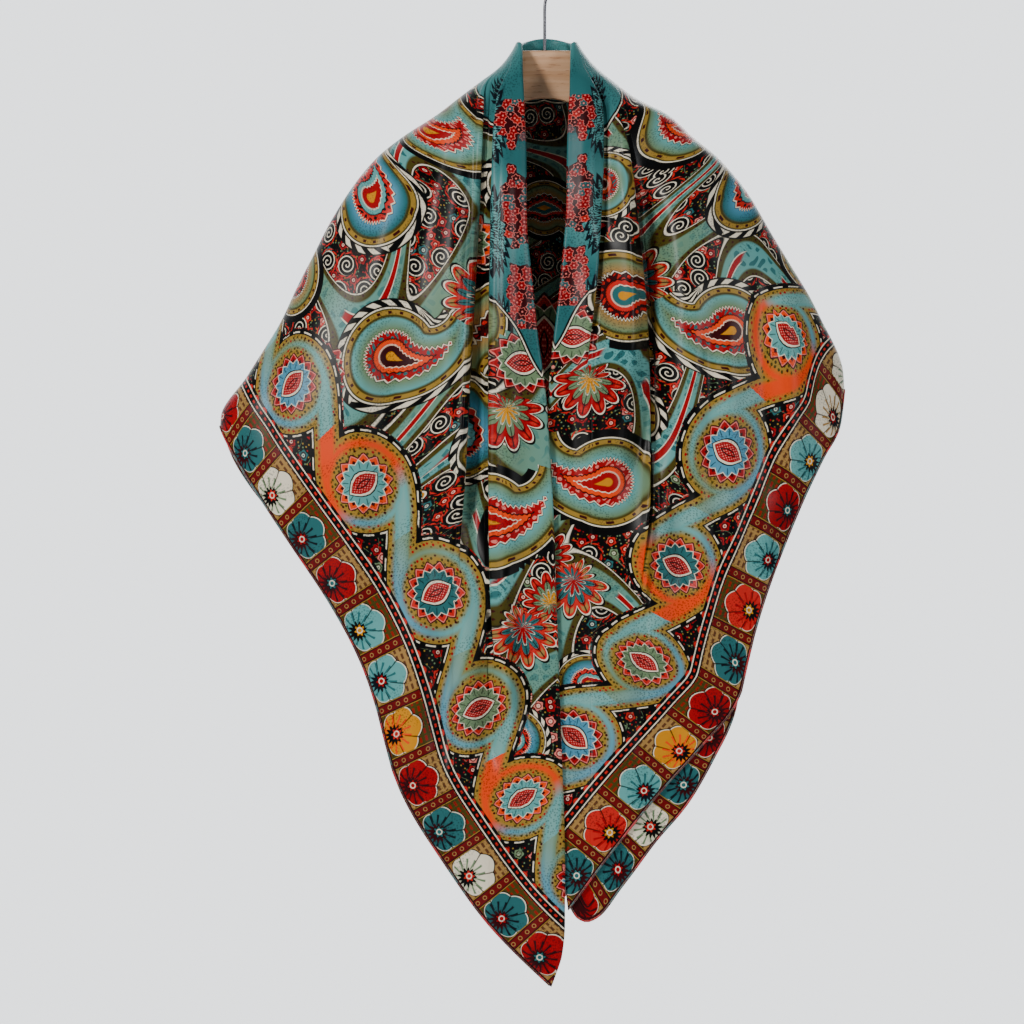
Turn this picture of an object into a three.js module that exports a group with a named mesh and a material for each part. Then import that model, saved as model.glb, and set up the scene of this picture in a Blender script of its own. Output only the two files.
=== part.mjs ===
// Silk square scarf, folded corner to corner into a triangle and hung as a shawl on a wooden hanger.
// Millimetres, +Z up. The front faces -Y and +X is the viewer's right.
// The origin is the inside top of the hanger's hook, where a rail carries it.
import * as THREE from 'three';

// The folded silk: two layers with the air between them make one wall
const WALL = 2;
const SEAM = 0.3;
const NECK_TOP = -90;
const NAPE_RISE = 6;
const COLLAR_DEPTH = 30;
const LOWEST = -975;
const ROUNDNESS = 2.4;
const FOLD_FADE = 0.25;
const LAP_TOP = -385;
const LAP_FULL = -450;
const LAP_SHIFT = 4;
const LAP_WIDTH = 34;

// The hanger: a block in the middle, an arm to each side and a wire hook
const WOOD_THICK = 14;
const WOOD_FIT = 1.3;
const BLOCK_TOP = -97;
const BLOCK_HALF_WIDTH = 26;
const BLOCK_BOTTOM = -146;
const ARCH_RISE = 5;
const ARM_START = -104;
const ARM_END = -243;
const ARM_HEIGHT_AT_BLOCK = 34;
const ARM_HEIGHT_AT_END = 25;
const ARM_STEPS = 12;
const WIRE = 3;
const WIRE_SIDES = 10;
const WIRE_STEPS = 40;
const HOOK_RADIUS = 19;
const HOOK_BEND = 20;
const HOOK_NECK = 36;

// How finely the cloth is divided
const BAND_COLUMNS = 20;
const BAND_SHARE = 0.42;
const OUTER_COLUMNS = 15;
const FRONT_ROWS = 25;
const BACK_COLUMNS = 19;
const BACK_ROWS = 14;
const NECK_ROWS = 3;
const UNDER_ROWS = 5;

function table(names, rows) {
  const columns = names.split(' ');
  return rows.map((row) => Object.fromEntries(columns.map((name, i) => [name, row[i]])));
}

// Level sections: height, half width on each side, depth of the front and the back
const LEVELS = table('z left right front back', [
  [-88, 26, 30, 22, 40],
  [-96, 30, 35, 26, 43],
  [-111, 41, 47, 33, 48],
  [-126, 60, 65, 40, 54],
  [-141, 80, 85, 45, 58],
  [-157, 101, 116, 50, 62],
  [-177, 132, 138, 56, 66],
  [-197, 157, 162, 60, 69],
  [-227, 182, 188, 66, 72],
  [-262, 204, 210, 70, 74],
  [-298, 221, 232, 73, 75],
  [-348, 246, 260, 76, 75],
  [-399, 278, 280, 78, 74],
  [-439, 304, 282, 78, 73],
  [-500, 306, 283, 78, 72],
  [-600, 304, 283, 77, 70],
  [-750, 298, 280, 76, 68],
  [-980, 290, 275, 74, 62],
]);

// The folded edge of each fall, from the neck to its tip
const LEFT_EDGE = table('z x', [
  [-88, -25], [-120, -23], [-150, -21], [-200, -18.6], [-260, -18], [-315, -13], [-370, -8],
  [-410, -2.4], [-460, 1.4], [-520, 5], [-600, 8], [-730, 13], [-856, 16.5], [-905, 16.5],
  [-932, 14], [-948, 9], [-961, 4],
]);
const RIGHT_EDGE = table('z x', [
  [-88, 28], [-130, 25], [-185, 22], [-260, 20.6], [-300, 17.5], [-340, 13.5], [-385, 8],
  [-422, 5], [-450, 2], [-500, -2], [-600, -4], [-750, 0], [-830, 9], [-863, 18.5], [-891, 22],
]);

// The hems, from each front tip out to the side, and the back hem from its corner to the sides
const LEFT_HEM = table('x z', [
  [-305, -440], [-301, -450], [-294, -464], [-279, -489], [-239, -550], [-195, -616], [-168, -668],
  [-153, -713], [-141, -762], [-127, -795], [-97, -843], [-55, -902], [-30, -929], [4, -961],
]);
const RIGHT_HEM = table('x z', [
  [22, -891], [57, -844], [97, -794], [146, -739], [178, -699], [190, -649], [202, -608],
  [223, -553], [239, -515], [258, -476], [273, -449], [280, -404],
]);
const UNDER_HEM = table('x z', [
  [19, -878], [24, -892], [30, -900], [38, -903], [48, -899], [70, -872], [104, -827], [132, -794],
  [157, -751], [174, -715], [183, -672], [190, -650],
]);
const BACK_HEM = table('share left right', [
  [0, -905, -905], [0.06, -893, -893], [0.2, -845, -842], [0.35, -780, -775], [0.5, -700, -690],
  [0.65, -612, -605], [0.8, -545, -530], [0.95, -481, -461], [1, -440, -404],
]);
const SIDE_REACH = { left: 305, right: 280 };
const UNDER_REACH = 186;
const UNDER_LAP = 55;
const UNDER_GAP = 1;

// Main folds: the heights they run between, their line in x at both ends and midway,
// their half width and their depth, outward above zero and inward below it
const FRONT_FOLDS = table('side top low x0 x1 x2 width depth', [
  ['left', -112, -700, -37, -36, -30, 12, 6],
  ['left', -180, -590, -61, -61, -68, 13, -14],
  ['left', -200, -560, -82, -84, -96, 16, 5],
  ['left', -600, -775, -92, -96, -99, 10, -8],
  ['left', -630, -775, -52, -52, -50, 9, -8],
  ['left', -600, -740, -27, -26, -14, 8, -10],
  ['left', -240, -560, -190, -205, -215, 60, 8],
  ['left', -300, -640, -138, -140, -140, 28, -5],
  ['right', -108, -280, 39, 37, 32, 11, 5],
  ['right', -130, -300, 58, 58, 55, 9, -7],
  ['right', -190, -530, 88, 112, 74, 15, -21],
  ['right', -190, -500, 128, 140, 132, 20, 7],
  ['right', -320, -620, 153, 152, 158, 9, -6],
  ['right', -320, -640, 168, 167, 178, 12, 6],
  ['right', -490, -610, 122, 126, 130, 9, -8],
  ['right', -480, -660, 146, 146, 150, 14, 6],
  ['right', -490, -600, 236, 232, 214, 13, -7],
  ['right', -560, -820, 60, 66, 60, 26, 5],
]);
const BACK_FOLDS = table('top low x0 x1 x2 width depth', [
  [-170, -640, -60, -90, -110, 30, 7],
  [-200, -700, -20, -40, -52, 22, -6],
  [-170, -640, 66, 96, 112, 30, 7],
  [-210, -720, 24, 42, 50, 22, -6],
  [-260, -560, -170, -200, -210, 30, -7],
  [-260, -560, 165, 188, 200, 30, -7],
  [-330, -820, 2, 0, -4, 18, 6],
]);

// A smooth curve through a table's rows, read at any value of its first column
function smoothAt(rows, from, to, at) {
  const ascending = rows[0][from] < rows[rows.length - 1][from] ? rows : [...rows].reverse();
  const last = ascending.length - 1;
  if (at <= ascending[0][from]) return ascending[0][to];
  if (at >= ascending[last][from]) return ascending[last][to];
  let i = 0;
  while (ascending[i + 1][from] < at) i += 1;
  const slope = (a, b) => (ascending[b][to] - ascending[a][to]) / (ascending[b][from] - ascending[a][from]);
  const middle = slope(i, i + 1);
  const tangent = (before, after) => (before * after <= 0 ? 0 : (2 * before * after) / (before + after));
  const m0 = i > 0 ? tangent(slope(i - 1, i), middle) : middle;
  const m1 = i + 1 < last ? tangent(middle, slope(i + 1, i + 2)) : middle;
  const width = ascending[i + 1][from] - ascending[i][from];
  const t = (at - ascending[i][from]) / width;
  return ascending[i][to] * (1 + 2 * t) * (1 - t) ** 2
    + ascending[i + 1][to] * t * t * (3 - 2 * t)
    + m0 * width * t * (1 - t) ** 2
    + m1 * width * t * t * (t - 1);
}

const ease = (value) => THREE.MathUtils.smoothstep(value, 0, 1);

// How far one fold lifts the cloth at a place
function foldLift(fold, x, z) {
  const along = (fold.top - z) / (fold.top - fold.low);
  if (along <= 0 || along >= 1) return 0;
  const line = fold.x0 * (1 - along) ** 2 + 2 * fold.x1 * along * (1 - along) + fold.x2 * along ** 2;
  const fade = ease(along / FOLD_FADE) * ease((1 - along) / FOLD_FADE);
  return fold.depth * fade * Math.exp(-(((x - line) / fold.width) ** 2));
}

// A point of the cloth's outer face. The angle runs from 0 at the centre front, through a quarter
// turn at the side, to a half turn at the centre back.
function clothPoint(side, angle, z) {
  const sign = side === 'left' ? -1 : 1;
  const sine = Math.sin(angle);
  const cosine = Math.cos(angle);
  const halfWidth = smoothAt(LEVELS, 'z', side, z);
  const isFront = cosine >= 0;
  const depth = smoothAt(LEVELS, 'z', isFront ? 'front' : 'back', z);
  const x = sign * halfWidth * Math.sign(sine) * Math.abs(sine) ** (2 / ROUNDNESS);
  const y = -depth * Math.sign(cosine) * Math.abs(cosine) ** (2 / ROUNDNESS);
  const folds = isFront ? FRONT_FOLDS.filter((fold) => fold.side === side) : BACK_FOLDS;
  const lift = folds.reduce((sum, fold) => sum + foldLift(fold, x, z), 0) * Math.sqrt(Math.abs(cosine));
  const lean = ROUNDNESS - 2;
  const outX = (sign * sine * Math.abs(sine) ** lean) / halfWidth;
  const outY = (-cosine * Math.abs(cosine) ** lean) / depth;
  const outLength = Math.hypot(outX, outY);
  const nearLap = ease(1 - Math.abs(x) / LAP_WIDTH) * ease((LAP_TOP - z) / (LAP_TOP - LAP_FULL));
  const lap = isFront ? nearLap : 0;
  const lapShift = side === 'left' ? -LAP_SHIFT : LAP_SHIFT;
  return new THREE.Vector3(x + (outX / outLength) * lift, y + (outY / outLength) * lift + lap * lapShift, z);
}

// The outward direction of the cloth at that place
function clothNormal(side, angle, z) {
  const turn = 0.004;
  const rise = 0.8;
  const across = clothPoint(side, angle + turn, z).sub(clothPoint(side, angle - turn, z));
  const up = clothPoint(side, angle, z + rise).sub(clothPoint(side, angle, z - rise));
  const normal = across.cross(up).normalize();
  return side === 'left' ? normal.negate() : normal;
}

// The angle at which the section passes through a given share of its half width
const angleOfShare = (share) => Math.asin(Math.sign(share) * Math.min(1, Math.abs(share)) ** (ROUNDNESS / 2));

// The angle that leaves half a seam between a front and the back
function seamAngle(z, face) {
  const depth = smoothAt(LEVELS, 'z', face, z);
  return Math.acos((SEAM / 2 / depth) ** (ROUNDNESS / 2));
}

// A column of a front, as the angle it has at each height. Place is 0 at the folded edge, 1 at the side.
function frontAngle(side, place, z) {
  const edge = side === 'left' ? -smoothAt(LEFT_EDGE, 'z', 'x', z) : smoothAt(RIGHT_EDGE, 'z', 'x', z);
  const edgeShare = edge / smoothAt(LEVELS, 'z', side, z);
  const share = edgeShare + (1 - edgeShare) * place;
  return Math.min(angleOfShare(share), seamAngle(z, 'front'));
}

// A column of the back. Place is 1 at the side and 0 at the centre back.
const backAngle = (place, z) => Math.PI - Math.min(angleOfShare(place), seamAngle(z, 'back'));

function hemHeight(hem, side, x) {
  if (hem === BACK_HEM) return smoothAt(BACK_HEM, 'share', side, Math.abs(x) / SIDE_REACH[side]);
  return smoothAt(hem, 'x', 'z', x);
}

// The height at which a column meets its hem
function hemCrossing(side, angleAt, hem) {
  let high = NECK_TOP;
  let low = LOWEST;
  for (let step = 0; step < 40; step += 1) {
    const z = (high + low) / 2;
    const x = clothPoint(side, angleAt(z), z).x;
    if (z > hemHeight(hem, side, x)) high = z;
    else low = z;
  }
  return (high + low) / 2;
}

// One column of points and outward directions between two heights
function clothColumn(side, angleAt, top, low, rows) {
  const column = [];
  for (let row = 0; row <= rows; row += 1) {
    const z = THREE.MathUtils.lerp(top, low, row / rows);
    const angle = angleAt(z);
    column.push({ point: clothPoint(side, angle, z), normal: clothNormal(side, angle, z) });
  }
  return column;
}

// A closed wall: the columns' points as its outer face, and the same points moved in by its thickness
function wallGeometry(columns, inset = 0) {
  const rows = columns[0].length;
  const layer = columns.length * rows;
  const positions = [];
  for (const offset of [inset, inset + WALL]) {
    for (const column of columns) {
      for (const { point, normal } of column) {
        positions.push(...point.clone().addScaledVector(normal, -offset).toArray());
      }
    }
  }
  const index = [];
  const quad = (a, b, c, d) => index.push(a, b, c, a, c, d);
  const at = (column, row) => column * rows + row;
  for (let column = 0; column + 1 < columns.length; column += 1) {
    for (let row = 0; row + 1 < rows; row += 1) {
      const corners = [at(column, row), at(column + 1, row), at(column + 1, row + 1), at(column, row + 1)];
      quad(...corners);
      quad(...corners.reverse().map((corner) => corner + layer));
    }
  }
  const rim = [];
  for (let column = 0; column < columns.length; column += 1) rim.push(at(column, 0));
  for (let row = 1; row < rows; row += 1) rim.push(at(columns.length - 1, row));
  for (let column = columns.length - 2; column >= 0; column -= 1) rim.push(at(column, rows - 1));
  for (let row = rows - 2; row > 0; row -= 1) rim.push(at(0, row));
  rim.forEach((corner, i) => {
    const next = rim[(i + 1) % rim.length];
    quad(corner + layer, next + layer, next, corner);
  });
  const geometry = new THREE.BufferGeometry();
  geometry.setAttribute('position', new THREE.Float32BufferAttribute(positions, 3));
  geometry.setIndex(index);
  return facingOut(geometry);
}

// Turns the faces round when the solid came out inside out
function facingOut(geometry) {
  const position = geometry.getAttribute('position');
  const index = geometry.getIndex().array;
  const corner = (i) => new THREE.Vector3().fromBufferAttribute(position, index[i]);
  let volume = 0;
  for (let i = 0; i < index.length; i += 3) {
    volume += corner(i).dot(corner(i + 1).cross(corner(i + 2)));
  }
  if (volume < 0) {
    for (let i = 0; i < index.length; i += 3) [index[i + 1], index[i + 2]] = [index[i + 2], index[i + 1]];
  }
  geometry.computeVertexNormals();
  return geometry;
}

// Column places on a front, close together over the folded band and opening out to the side
function frontPlaces() {
  const places = [];
  for (let i = 0; i < BAND_COLUMNS; i += 1) places.push((BAND_SHARE * i) / BAND_COLUMNS);
  for (let i = 0; i <= OUTER_COLUMNS; i += 1) {
    places.push(BAND_SHARE + (1 - BAND_SHARE) * Math.sin((Math.PI / 2) * (i / OUTER_COLUMNS)));
  }
  return places;
}

function frontPanel(side, hem) {
  const columns = frontPlaces().map((place) => {
    const angleAt = (z) => frontAngle(side, place, z);
    return clothColumn(side, angleAt, NECK_TOP, hemCrossing(side, angleAt, hem), FRONT_ROWS);
  });
  return wallGeometry(columns);
}

// Columns round the back, from the left side over the centre to the right side
function backColumns(topOf, lowOf, rows) {
  const columns = [];
  for (let i = -BACK_COLUMNS; i <= BACK_COLUMNS; i += 1) {
    const side = i < 0 ? 'left' : 'right';
    const place = Math.sin((Math.PI / 2) * (Math.abs(i) / BACK_COLUMNS));
    const angleAt = (z) => backAngle(place, z);
    columns.push(clothColumn(side, angleAt, topOf(place), lowOf(side, angleAt), rows));
  }
  return columns;
}

const napeTop = (place) => NECK_TOP + NAPE_RISE * (1 - place ** 2);
const collarFoot = NECK_TOP - COLLAR_DEPTH;

function backPanel() {
  return wallGeometry(backColumns(
    () => collarFoot - SEAM,
    (side, angleAt) => hemCrossing(side, angleAt, BACK_HEM),
    BACK_ROWS,
  ));
}

function neckFold() {
  return wallGeometry(backColumns(napeTop, () => collarFoot, NECK_ROWS));
}

// The under layer, which shows below the upper layer's hem on the right fall
function underLayer() {
  const places = frontPlaces().filter((place) => place * SIDE_REACH.right < UNDER_REACH);
  const columns = places.map((place) => {
    const angleAt = (z) => frontAngle('right', place, z);
    const upperHem = hemCrossing('right', angleAt, RIGHT_HEM);
    const lowerHem = hemCrossing('right', angleAt, UNDER_HEM);
    return clothColumn('right', angleAt, upperHem + UNDER_LAP, lowerHem, UNDER_ROWS);
  });
  return wallGeometry(columns, WALL + UNDER_GAP);
}

// The wood's upper edge on one arm lies just under the cloth at the shoulder
function armEdge(side) {
  const upper = [];
  const lower = [];
  for (let step = 0; step <= ARM_STEPS; step += 1) {
    const share = step / ARM_STEPS;
    const z = THREE.MathUtils.lerp(ARM_START, ARM_END, share);
    const point = clothPoint(side, Math.PI / 2, z);
    const normal = clothNormal(side, Math.PI / 2, z);
    const inward = new THREE.Vector2(normal.x, normal.z).normalize().negate();
    const height = THREE.MathUtils.lerp(ARM_HEIGHT_AT_BLOCK, ARM_HEIGHT_AT_END, share);
    const onCloth = new THREE.Vector2(point.x, point.z);
    upper.push(onCloth.clone().addScaledVector(inward, WALL + WOOD_FIT));
    const below = onCloth.clone().addScaledVector(inward, WALL + WOOD_FIT + height);
    if (Math.abs(below.x) > BLOCK_HALF_WIDTH && below.y < BLOCK_BOTTOM) lower.push(below);
  }
  return { upper, lower };
}

function hangerWood() {
  const left = armEdge('left');
  const right = armEdge('right');
  const arch = [];
  for (let step = 0; step <= 8; step += 1) {
    const share = step / 8;
    const x = THREE.MathUtils.lerp(BLOCK_HALF_WIDTH, -BLOCK_HALF_WIDTH, share);
    arch.push(new THREE.Vector2(x, BLOCK_BOTTOM + ARCH_RISE * Math.sin(Math.PI * share)));
  }
  const outline = [
    new THREE.Vector2(-BLOCK_HALF_WIDTH, BLOCK_TOP),
    new THREE.Vector2(BLOCK_HALF_WIDTH, BLOCK_TOP),
    ...right.upper,
    ...right.lower.reverse(),
    ...arch,
    ...left.lower,
    ...left.upper.reverse(),
  ];
  const geometry = new THREE.ExtrudeGeometry(new THREE.Shape(outline.reverse()), {
    depth: WOOD_THICK,
    bevelEnabled: false,
  });
  return geometry.rotateX(Math.PI / 2).translate(0, WOOD_THICK / 2, 0);
}

// A round wire that rises from the block and turns over the rail
function hangerHook() {
  const centre = WIRE / 2 - HOOK_RADIUS;
  const route = [];
  for (let degrees = 200; degrees >= -45; degrees -= 17.5) {
    const angle = THREE.MathUtils.degToRad(degrees);
    route.push(new THREE.Vector3(HOOK_RADIUS * Math.cos(angle), 0, centre + HOOK_RADIUS * Math.sin(angle)));
  }
  route.push(new THREE.Vector3(7, 0, centre - HOOK_BEND));
  route.push(new THREE.Vector3(1.8, 0, centre - (HOOK_BEND + HOOK_NECK) / 2));
  route.push(new THREE.Vector3(0, 0, centre - HOOK_NECK));
  route.push(new THREE.Vector3(0, 0, (centre - HOOK_NECK + BLOCK_TOP) / 2));
  route.push(new THREE.Vector3(0, 0, BLOCK_TOP + SEAM));
  const section = new THREE.Shape();
  for (let i = 0; i < WIRE_SIDES; i += 1) {
    const angle = (Math.PI * 2 * i) / WIRE_SIDES;
    const corner = [(WIRE / 2) * Math.cos(angle), (WIRE / 2) * Math.sin(angle)];
    if (i === 0) section.moveTo(...corner);
    else section.lineTo(...corner);
  }
  return new THREE.ExtrudeGeometry(section, {
    steps: WIRE_STEPS,
    extrudePath: new THREE.CatmullRomCurve3(route),
    bevelEnabled: false,
  });
}

function piece(name, geometry, material) {
  const mesh = new THREE.Mesh(geometry, material);
  mesh.name = name;
  return mesh;
}

const silk = new THREE.MeshStandardMaterial({ color: 0x5f8078, roughness: 0.4, metalness: 0 });
const beech = new THREE.MeshStandardMaterial({ color: 0xd2a077, roughness: 0.5, metalness: 0 });
const steel = new THREE.MeshStandardMaterial({ color: 0x45464a, roughness: 0.35, metalness: 1 });

const scarf = new THREE.Group();
scarf.add(piece('front_left', frontPanel('left', LEFT_HEM), silk));
scarf.add(piece('front_right', frontPanel('right', RIGHT_HEM), silk));
scarf.add(piece('under_right', underLayer(), silk));
scarf.add(piece('back', backPanel(), silk));
scarf.add(piece('neck_fold', neckFold(), silk));
scarf.add(piece('hanger_wood', hangerWood(), beech));
scarf.add(piece('hanger_hook', hangerHook(), steel));

export default scarf;
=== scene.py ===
# %% [markdown]
# # A silk square draped as a shawl
# The object is one square of printed silk twill, folded corner to corner and hung over a wooden hanger.
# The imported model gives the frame: its pieces have the true size and place, and this lesson dresses them.
# Everything is in metres, with +Z up, the front facing -Y and the origin inside the top of the hook.

# %% Load the frame
import math

import bpy
import numpy as np
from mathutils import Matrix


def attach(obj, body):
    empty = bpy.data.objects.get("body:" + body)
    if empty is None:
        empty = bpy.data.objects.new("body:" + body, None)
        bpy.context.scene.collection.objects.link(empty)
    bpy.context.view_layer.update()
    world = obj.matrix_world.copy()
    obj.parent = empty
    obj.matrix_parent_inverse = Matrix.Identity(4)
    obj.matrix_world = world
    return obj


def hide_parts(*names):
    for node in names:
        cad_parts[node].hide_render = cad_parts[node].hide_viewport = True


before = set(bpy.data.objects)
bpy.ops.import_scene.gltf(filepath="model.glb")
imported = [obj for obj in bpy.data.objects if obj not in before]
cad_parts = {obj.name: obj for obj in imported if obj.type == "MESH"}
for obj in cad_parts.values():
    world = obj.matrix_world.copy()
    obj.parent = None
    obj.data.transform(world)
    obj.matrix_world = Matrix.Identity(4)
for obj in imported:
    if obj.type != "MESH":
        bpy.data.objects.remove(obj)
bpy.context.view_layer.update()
MM = 0.001
print("nodes in the frame:", sorted(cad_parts))

# %% [markdown]
# ## The camera and the light
# The photograph looks straight at the front from far away, so the camera is far off with a long lens.
# Setting it first means that every later step can be judged in the same picture.
# A large soft lamp from the upper left gives the satin its pale vertical highlights.

# %% Camera
VIEW_CENTRE = (-30.5 * MM, -40 * MM, -527 * MM)
VIEW_WIDTH = 947 * MM
VIEW_DISTANCE = 4.5
SENSOR = 36.0

camera_data = bpy.data.cameras.new("camera")
camera_data.sensor_width = SENSOR
camera_data.lens = SENSOR * VIEW_DISTANCE / VIEW_WIDTH
camera = bpy.data.objects.new("camera", camera_data)
camera.location = (VIEW_CENTRE[0], VIEW_CENTRE[1] - VIEW_DISTANCE, VIEW_CENTRE[2])
camera.rotation_euler = (math.pi / 2, 0, 0)
bpy.context.scene.collection.objects.link(camera)
bpy.context.scene.camera = camera
print("lens in millimetres:", round(camera_data.lens, 1))


# %% Lamps and world
def area_lamp(name, place, aim, size, power, colour=(1, 1, 1)):
    data = bpy.data.lights.new(name, "AREA")
    data.shape = "DISK"
    data.size = size
    data.energy = power
    data.color = colour
    lamp = bpy.data.objects.new(name, data)
    lamp.location = place
    direction = np.array(aim) - np.array(place)
    yaw = math.atan2(direction[1], direction[0])
    pitch = math.atan2(direction[2], math.hypot(direction[0], direction[1]))
    lamp.rotation_euler = (math.pi / 2 + pitch, 0, yaw - math.pi / 2)
    bpy.context.scene.collection.objects.link(lamp)
    return lamp


area_lamp("key_lamp", (-2.1, -2.2, 0.7), (0, 0, -0.5), 0.7, 84, (1.0, 0.985, 0.965))
area_lamp("fill_lamp", (2.5, -2.0, 0.3), (0, 0, -0.5), 0.8, 34, (0.96, 0.98, 1.0))
area_lamp("back_lamp", (0.6, 2.2, 0.8), (0, 0, -0.5), 1.5, 30)

world = bpy.data.worlds.new("studio")
world.use_nodes = True
sky = world.node_tree
heading = sky.nodes.new("ShaderNodeTexCoord")
parts = sky.nodes.new("ShaderNodeSeparateXYZ")
sky.links.new(heading.outputs["Generated"], parts.inputs[0])
fade = sky.nodes.new("ShaderNodeMapRange")
fade.interpolation_type = "SMOOTHSTEP"
fade.inputs["From Min"].default_value = 0.35
fade.inputs["From Max"].default_value = 0.85
fade.inputs["To Min"].default_value = 0.24
fade.inputs["To Max"].default_value = 2.3
sky.links.new(parts.outputs["Y"], fade.inputs["Value"])
sky.links.new(fade.outputs["Result"], sky.nodes["Background"].inputs["Strength"])
sky.nodes["Background"].inputs["Color"].default_value = (0.90, 0.93, 0.96, 1)
bpy.context.scene.world = world

# %% [markdown]
# ## Writing materials as sums
# A printed pattern is a long list of small sums: distances, stripes and masks.
# Wiring those by hand is slow to read, so a small class lets a node's output be added and multiplied
# like a number. Each operation adds one Math node to the material.


# %% A number that varies over a surface
class Field:
    def __init__(self, tree, socket):
        self.tree = tree
        self.socket = socket

    def maths(self, operation, *others, clamp=False):
        node = self.tree.nodes.new("ShaderNodeMath")
        node.operation = operation
        node.use_clamp = clamp
        self.tree.links.new(self.socket, node.inputs[0])
        for i, other in enumerate(others):
            if isinstance(other, Field):
                self.tree.links.new(other.socket, node.inputs[i + 1])
            else:
                node.inputs[i + 1].default_value = other
        return Field(self.tree, node.outputs[0])

    def __add__(self, other):
        return self.maths("ADD", other)

    def __sub__(self, other):
        return self.maths("SUBTRACT", other)

    def __mul__(self, other):
        return self.maths("MULTIPLY", other)

    def __truediv__(self, other):
        return self.maths("DIVIDE", other)

    def root(self):
        return self.maths("SQRT")

    def size(self):
        return self.maths("ABSOLUTE")

    def sine(self):
        return self.maths("SINE")

    def cosine(self):
        return self.maths("COSINE")

    def least(self, other):
        return self.maths("MINIMUM", other)

    def most(self, other):
        return self.maths("MAXIMUM", other)

    def part(self):
        return self.maths("FRACT")

    def whole(self):
        return self.maths("FLOOR")

    def under(self, edge, soft):
        """1 where the number is below edge, 0 above it, with a soft change between."""
        if isinstance(edge, Field):
            return (edge - self).maths("MULTIPLY_ADD", 1 / soft, 0.5, clamp=True)
        return self.maths("MULTIPLY_ADD", -1 / soft, edge / soft + 0.5, clamp=True)

    def over(self, edge, soft):
        return self.maths("MULTIPLY_ADD", 1 / soft, 0.5 - edge / soft, clamp=True)

    def near(self, centre, half, soft):
        """1 within half of centre."""
        return (self - centre).size().under(half, soft)


def srgb(red, green, blue):
    """A colour given as the eye reads it on a screen, 0 to 255, turned into the shader's light."""
    return tuple((v / 255) ** 2.2 for v in (red, green, blue)) + (1,)


def paint(tree, under, over, mask):
    """Lays one colour over another where the mask is 1."""
    node = tree.nodes.new("ShaderNodeMix")
    node.data_type = "RGBA"
    tree.links.new(mask.socket, node.inputs["Factor"])
    for socket, colour in ((node.inputs[6], under), (node.inputs[7], over)):
        if isinstance(colour, tuple):
            socket.default_value = colour
        else:
            tree.links.new(colour, socket)
    return node.outputs[2]


def choose(tree, field, colours):
    """One of several colours, picked by a number from 0 to 1."""
    node = tree.nodes.new("ShaderNodeValToRGB")
    node.color_ramp.interpolation = "CONSTANT"
    stops = node.color_ramp.elements
    while len(stops) < len(colours):
        stops.new(0.5)
    for i, colour in enumerate(colours):
        stops[i].position = i / len(colours)
        stops[i].color = colour
    tree.links.new(field.socket, node.inputs["Fac"])
    return node.outputs["Color"]


def scattered(tree, x, y, spacing, jitter=0.8):
    """The place inside the nearest of many scattered spots, and a random number for that spot."""
    join = tree.nodes.new("ShaderNodeCombineXYZ")
    tree.links.new((x / spacing).socket, join.inputs[0])
    tree.links.new((y / spacing).socket, join.inputs[1])
    cells = tree.nodes.new("ShaderNodeTexVoronoi")
    cells.voronoi_dimensions = "2D"
    cells.inputs["Scale"].default_value = 1.0
    cells.inputs["Randomness"].default_value = jitter
    tree.links.new(join.outputs[0], cells.inputs["Vector"])
    middle = tree.nodes.new("ShaderNodeSeparateXYZ")
    tree.links.new(cells.outputs["Position"], middle.inputs[0])
    tint = tree.nodes.new("ShaderNodeSeparateColor")
    tree.links.new(cells.outputs["Color"], tint.inputs[0])
    across = (x / spacing - Field(tree, middle.outputs[0])) * spacing
    along = (y / spacing - Field(tree, middle.outputs[1])) * spacing
    return across, along, Field(tree, tint.outputs[0]), Field(tree, tint.outputs[1])


def polar(x, y):
    return (x * x + y * y).root(), y.maths("ARCTAN2", x)


def lobes(angle, count, turn=0.0):
    """A saw between 0 on a petal's middle and 1 between two petals."""
    return ((angle * (count / math.tau) + turn).part() - 0.5).size() * 2


print("material helpers ready")

# %% [markdown]
# ## The form of the cloth
# The scarf hangs as level sections: at each height it has a half width to the left and right and a depth
# to the front and back, and each section is a rounded rectangle. The same short tables make the solids
# of the frame, so a finer surface made from them lies where those solids lie.
# Rows are sections or folds, in millimetres.


# %% Tables of the drape
def table(names, rows):
    return dict(zip(names.split(), np.array(rows, float).T))


ROUNDNESS = 2.4
NECK_TOP = -90.0
NAPE_RISE = 6.0
LOWEST = -975.0
LEVELS = table("z left right front back", [
    (-88, 26, 30, 22, 40), (-96, 30, 35, 26, 43), (-111, 41, 47, 33, 48), (-126, 60, 65, 40, 54),
    (-141, 80, 85, 45, 58), (-157, 101, 116, 50, 62), (-177, 132, 138, 56, 66), (-197, 157, 162, 60, 69),
    (-227, 182, 188, 66, 72), (-262, 204, 210, 70, 74), (-298, 221, 232, 73, 75), (-348, 246, 260, 76, 75),
    (-399, 278, 280, 78, 74), (-439, 304, 282, 78, 73), (-500, 306, 283, 78, 72), (-600, 304, 283, 77, 70),
    (-750, 298, 280, 76, 68), (-980, 290, 275, 74, 62),
])
EDGE = {
    "left": table("z x", [
        (-88, 25), (-120, 23), (-150, 21), (-200, 18.6), (-260, 18), (-315, 13), (-370, 8),
        (-410, 2.4), (-460, -1.4), (-520, -5), (-600, -8), (-730, -13), (-856, -16.5), (-905, -16.5),
        (-932, -14), (-948, -9), (-961, -4),
    ]),
    "right": table("z x", [
        (-88, 28), (-130, 25), (-185, 22), (-260, 20.6), (-300, 17.5), (-340, 13.5), (-385, 8),
        (-422, 5), (-450, 2), (-500, -2), (-600, -4), (-750, 0), (-830, 9), (-863, 18.5), (-891, 22),
    ]),
}
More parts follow.
